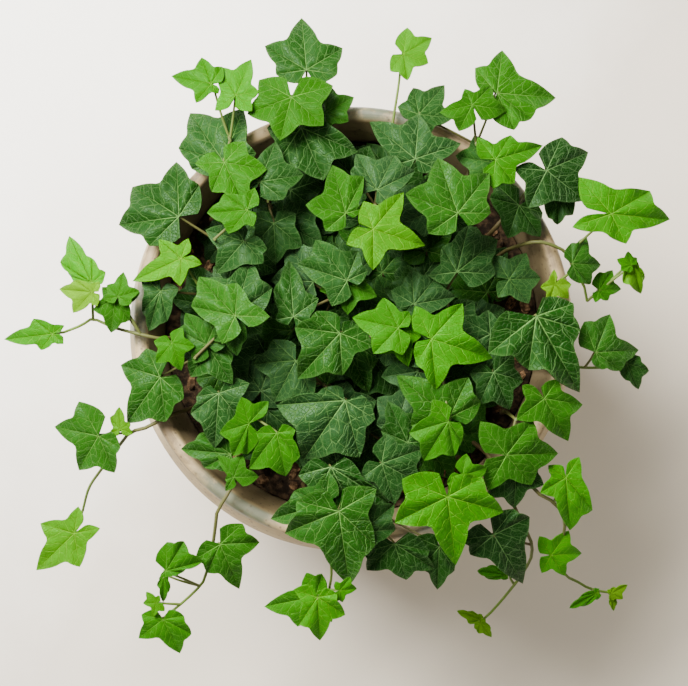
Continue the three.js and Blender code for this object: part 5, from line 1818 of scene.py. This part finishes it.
@dataclass
class Pot:
    """The stoneware pot: a round wall with a bellied side, a rolled lip and a plain foot.

    The profile is the radius and height of each ring, from the foot over the lip to the inside.
    """

    sides: int = 144
    profile: tuple[Point, ...] = (
        (73.0, 0.0), (74.6, 0.8), (76.6, 2.6), (78.2, 6.0), (85.0, 20.0), (93.0, 38.0),
        (103.6, 60.0), (112.6, 82.0), (118.6, 102.0), (121.4, 118.0), (121.6, 130.0),
        (120.6, 144.0), (118.6, 154.0), (115.8, 162.5), (113.9, 168.5), (113.0, 174.0),
        (113.3, 177.6), (114.6, 180.4), (114.8, 182.6), (114.0, 184.6), (112.6, 185.7),
        (110.8, 185.9), (108.8, 185.5), (107.3, 184.4), (106.5, 182.6), (105.4, 179.6),
        (103.4, 175.6), (101.9, 171.4), (100.3, 167.0), (99.6, 164.0), (99.6, 153.2),
        (103.9, 128.4), (86.2, 48.2), (62.2, 14.2),
    )

    def turn_wall(self) -> bpy.types.Object:
        """Raises the wall ring by ring and closes the inner floor and the foot.

        Returns:
            The pot's object.
        """
        deselect()
        radius, level = self.profile[0]
        bpy.ops.mesh.primitive_circle_add(
            vertices=self.sides, radius=radius * MM, fill_type="NOTHING"
        )
        pot = bpy.context.object
        with editing():
            bpy.ops.mesh.select_mode(type="EDGE")
            bpy.ops.mesh.select_all(action="SELECT")
            for wider, height in self.profile[1:]:
                rise = {"value": (0, 0, (height - level) * MM)}
                bpy.ops.mesh.extrude_region_move(TRANSFORM_OT_translate=rise)
                grow = wider / radius
                middle = (0, 0, height * MM)
                bpy.ops.transform.resize(value=(grow, grow, 1), center_override=middle)
                radius, level = wider, height
            bpy.ops.mesh.edge_face_add()
            bpy.ops.mesh.inset(thickness=8 * MM)
        for edge in pot.data.edges:
            ends = [pot.data.vertices[i].co for i in edge.vertices]
            edge.select = all(abs(end.z) < 1e-5 for end in ends)
        with editing():
            bpy.ops.mesh.edge_face_add()
            bpy.ops.mesh.inset(thickness=6 * MM)
            bpy.ops.mesh.select_all(action="SELECT")
            bpy.ops.mesh.normals_make_consistent(inside=False)
        return pot

    def age(self, pot: bpy.types.Object) -> None:
        """Gives the wall the slight waves of a hand-turned pot.

        Args:
            pot: the pot's object.
        """
        for vertex in pot.data.vertices:
            place = vertex.co
            if place.z < 0.004 or place.z < 0.165 and math.hypot(place.x, place.y) < 0.07:
                continue
            sway = noise.noise(Vector((place.x * 14, place.y * 14, place.z * 22)))
            rill = math.sin(place.z * 900) * 0.12 if place.z < 0.160 else 0.0
            shift = (-0.25 + 0.25 * sway + rill) * MM
            radial = Vector((place.x, place.y, 0)).normalized()
            vertex.co = place + radial * shift

    def build(self, finish: bpy.types.Material) -> bpy.types.Object:
        """Builds and dresses the pot.

        Args:
            finish: the pot's material.

        Returns:
            The pot's object.
        """
        pot = self.turn_wall()
        self.age(pot)
        pot.name = "stoneware_pot"
        pot.data.materials.append(finish)
        make_active(pot)
        bpy.ops.object.shade_smooth_by_angle(angle=math.radians(40))
        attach(pot, BODY)
        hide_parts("pot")
        return pot


@dataclass
class Soil:
    """The soil's crumbly top, and the bark and crumbs on it, with their least and most sizes."""

    radius: float = 98.6
    cells: int = 96
    thickness: float = 2.2
    chips: int = 230
    chip_sizes: tuple[Point, Point, Point] = ((2.2, 5.5), (1.2, 2.6), (0.5, 1.1))
    crumbs: int = 220
    crumb_sizes: tuple[Point, Point, Point] = ((0.8, 1.9), (0.7, 1.5), (0.6, 1.2))
    seed: int = 11

    def top(self, x: float, y: float) -> float:
        """Finds the height of the crumbly top.

        Args:
            x: the place's x, in mm.
            y: the place's y, in mm.

        Returns:
            The height, in mm.
        """
        rough = noise.noise(Vector((x * 0.16, y * 0.16, 3.0)))
        rough += 0.6 * noise.noise(Vector((x * 0.45, y * 0.45, 9.0)))
        return soil_top(x, y) + 1.3 + 1.1 * rough

    def build_top(self, finish: bpy.types.Material) -> bpy.types.Object:
        """Builds the crumbly top as a thin sheet on the soil.

        Args:
            finish: the soil's material.

        Returns:
            The sheet, as an object.
        """
        deselect()
        bpy.ops.mesh.primitive_grid_add(
            x_subdivisions=self.cells, y_subdivisions=self.cells, size=2 * self.radius * MM
        )
        sheet = bpy.context.object
        for vertex in sheet.data.vertices:
            x, y = vertex.co.x / MM, vertex.co.y / MM
            far = math.hypot(x, y)
            part = max(abs(x), abs(y)) / far if far > 0 else 1.0
            x, y = x * part, y * part
            vertex.co = Vector((x, y, self.top(x, y))) * MM
        thicken(sheet, self.thickness)
        bpy.ops.object.shade_smooth_by_angle(angle=math.radians(60))
        sheet.data.materials.append(finish)
        sheet.name = "soil_top"
        return sheet

    def scatter(self, count: int, sizes: Sequence[Point], name: str) -> bpy.types.Object:
        """Scatters flattened pieces over the soil.

        Args:
            count: how many pieces.
            sizes: the least and most half-size along each of their three sides, in mm.
            name: the name of the whole.

        Returns:
            The pieces, joined.
        """
        deselect()
        bpy.ops.mesh.primitive_cube_add(size=2)
        model = bpy.context.object
        with editing():
            bpy.ops.mesh.select_all(action="SELECT")
            bpy.ops.mesh.bevel(offset=0.5, segments=1, affect="EDGES")
            bpy.ops.mesh.select_all(action="DESELECT")
        at = np.array([vertex.co[:] for vertex in model.data.vertices])
        rng = random.Random(self.seed + count)
        pieces = []
        for _ in range(count):
            far = 0.96 * self.radius * math.sqrt(rng.random())
            x, y = move((0.0, 0.0), rng.uniform(0, 2 * math.pi), far)
            half = np.array([rng.uniform(*side) for side in sizes])
            rough = np.array([rng.random() for _ in range(at.size)]).reshape(at.shape)
            turn = rng.uniform(0, 2 * math.pi)
            lean = rng.uniform(-0.5, 0.5)
            local = at * half * (1 + 0.25 * (rough - 0.5))
            local[:, 2] += local[:, 0] * math.tan(lean)
            spun = np.empty_like(local)
            spun[:, 0] = local[:, 0] * math.cos(turn) - local[:, 1] * math.sin(turn) + x
            spun[:, 1] = local[:, 0] * math.sin(turn) + local[:, 1] * math.cos(turn) + y
            spun[:, 2] = local[:, 2] + self.top(x, y) + 0.4 * half[2]
            if np.hypot(spun[:, 0], spun[:, 1]).max() < self.radius:
                pieces.append(copy_of(model, spun * MM))
        bpy.data.objects.remove(model)
        return join(pieces, name)

    def build(self, mix: bpy.types.Material, bark: bpy.types.Material) -> list[bpy.types.Object]:
        """Builds and dresses the soil's top and its pieces.

        Args:
            mix: the soil's material.
            bark: the chips' material.

        Returns:
            The three pieces.
        """
        top = self.build_top(mix)
        chips = self.scatter(self.chips, self.chip_sizes, "bark_chips")
        crumbs = self.scatter(self.crumbs, self.crumb_sizes, "soil_crumbs")
        chips.data.materials.append(bark)
        crumbs.data.materials.append(mix)
        for piece in (top, chips, crumbs):
            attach(piece, BODY)
        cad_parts["soil"].data.materials.clear()
        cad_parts["soil"].data.materials.append(mix)
        return [top, chips, crumbs]


@dataclass
class Studio:
    """The camera at the photograph's view, a pale floor and soft light from the upper left."""

    lens: float = 100.6
    sensor: float = 36.0
    floor_size: float = 12.0
    middle: Point3 = (0.0, 0.0, 0.15)

    def place_camera(self) -> None:
        """Places the camera over the plant."""
        deselect()
        bpy.ops.object.camera_add(location=tuple(part * MM for part in EYE))
        camera = bpy.context.object
        back = (Vector(EYE) - Vector(AIM)).normalized()
        right = Vector((0, 1, 0)).cross(back).normalized()
        turned = Matrix((right, back.cross(right), back)).transposed()
        camera.rotation_euler = turned.to_euler()
        camera.data.lens = self.lens
        camera.data.sensor_width = self.sensor
        camera.data.sensor_fit = "HORIZONTAL"
        camera.data.clip_start = 0.01
        bpy.context.scene.camera = camera

    def lay_floor(self, finish: bpy.types.Material) -> None:
        """Lays the floor.

        Args:
            finish: the floor's material.
        """
        deselect()
        bpy.ops.mesh.primitive_plane_add(size=self.floor_size)
        floor = bpy.context.object
        floor.name = "floor"
        floor.data.materials.append(finish)

    def add_light(self, name: str, place: Point3, size: float, power: float, tint: Colour) -> None:
        """Adds a soft light that points at the plant.

        Args:
            name: the light's name.
            place: where it stands, in metres.
            size: its width, in metres.
            power: its power, in watts.
            tint: its colour.
        """
        bpy.ops.object.light_add(type="AREA", location=place)
        light = bpy.context.object
        light.name = name
        light.data.size = size
        light.data.energy = power
        light.data.color = tint
        aim = Vector(self.middle) - Vector(place)
        light.rotation_euler = aim.to_track_quat("-Z", "Y").to_euler()

    def light(self) -> None:
        """Lights the plant."""
        self.add_light("window", (-0.62, 0.62, 1.15), 0.76, 100.0, (1.0, 0.985, 0.95))
        self.add_light("fill", (1.6, -1.3, 1.9), 2.2, 6.0, (1.0, 0.95, 0.88))
        world = bpy.data.worlds.new("room")
        world.use_nodes = True
        background = world.node_tree.nodes["Background"]
        background.inputs["Color"].default_value = (1.0, 0.97, 0.92, 1.0)
        background.inputs["Strength"].default_value = 0.52
        bpy.context.scene.world = world


def main() -> None:
    """Builds the studio, the pot, the soil and the foliage."""
    logging.basicConfig(level=logging.INFO, format="%(name)s: %(message)s")
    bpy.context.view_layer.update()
    studio = Studio()
    studio.place_camera()
    studio.lay_floor(FloorFinish().make())
    studio.light()
    pot = Pot().build(StonewareFinish().make())
    LOG.info("built %s", pot.name)
    for piece in Soil().build(SOIL_FINISH.make(), BARK_FINISH.make()):
        LOG.info("built %s", piece.name)
    blades, stalks = BladeMaker(), StalkMaker(StemFinish().make())
    upper_and_under = (finish.make() for finish in (LEAF_OLD, LEAF_YOUNG, LEAF_UNDER))
    for piece in Foliage(Canopy(), blades, stalks, *upper_and_under).build():
        LOG.info("built %s", piece.name)
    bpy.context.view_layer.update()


if __name__ == "__main__":
    main()
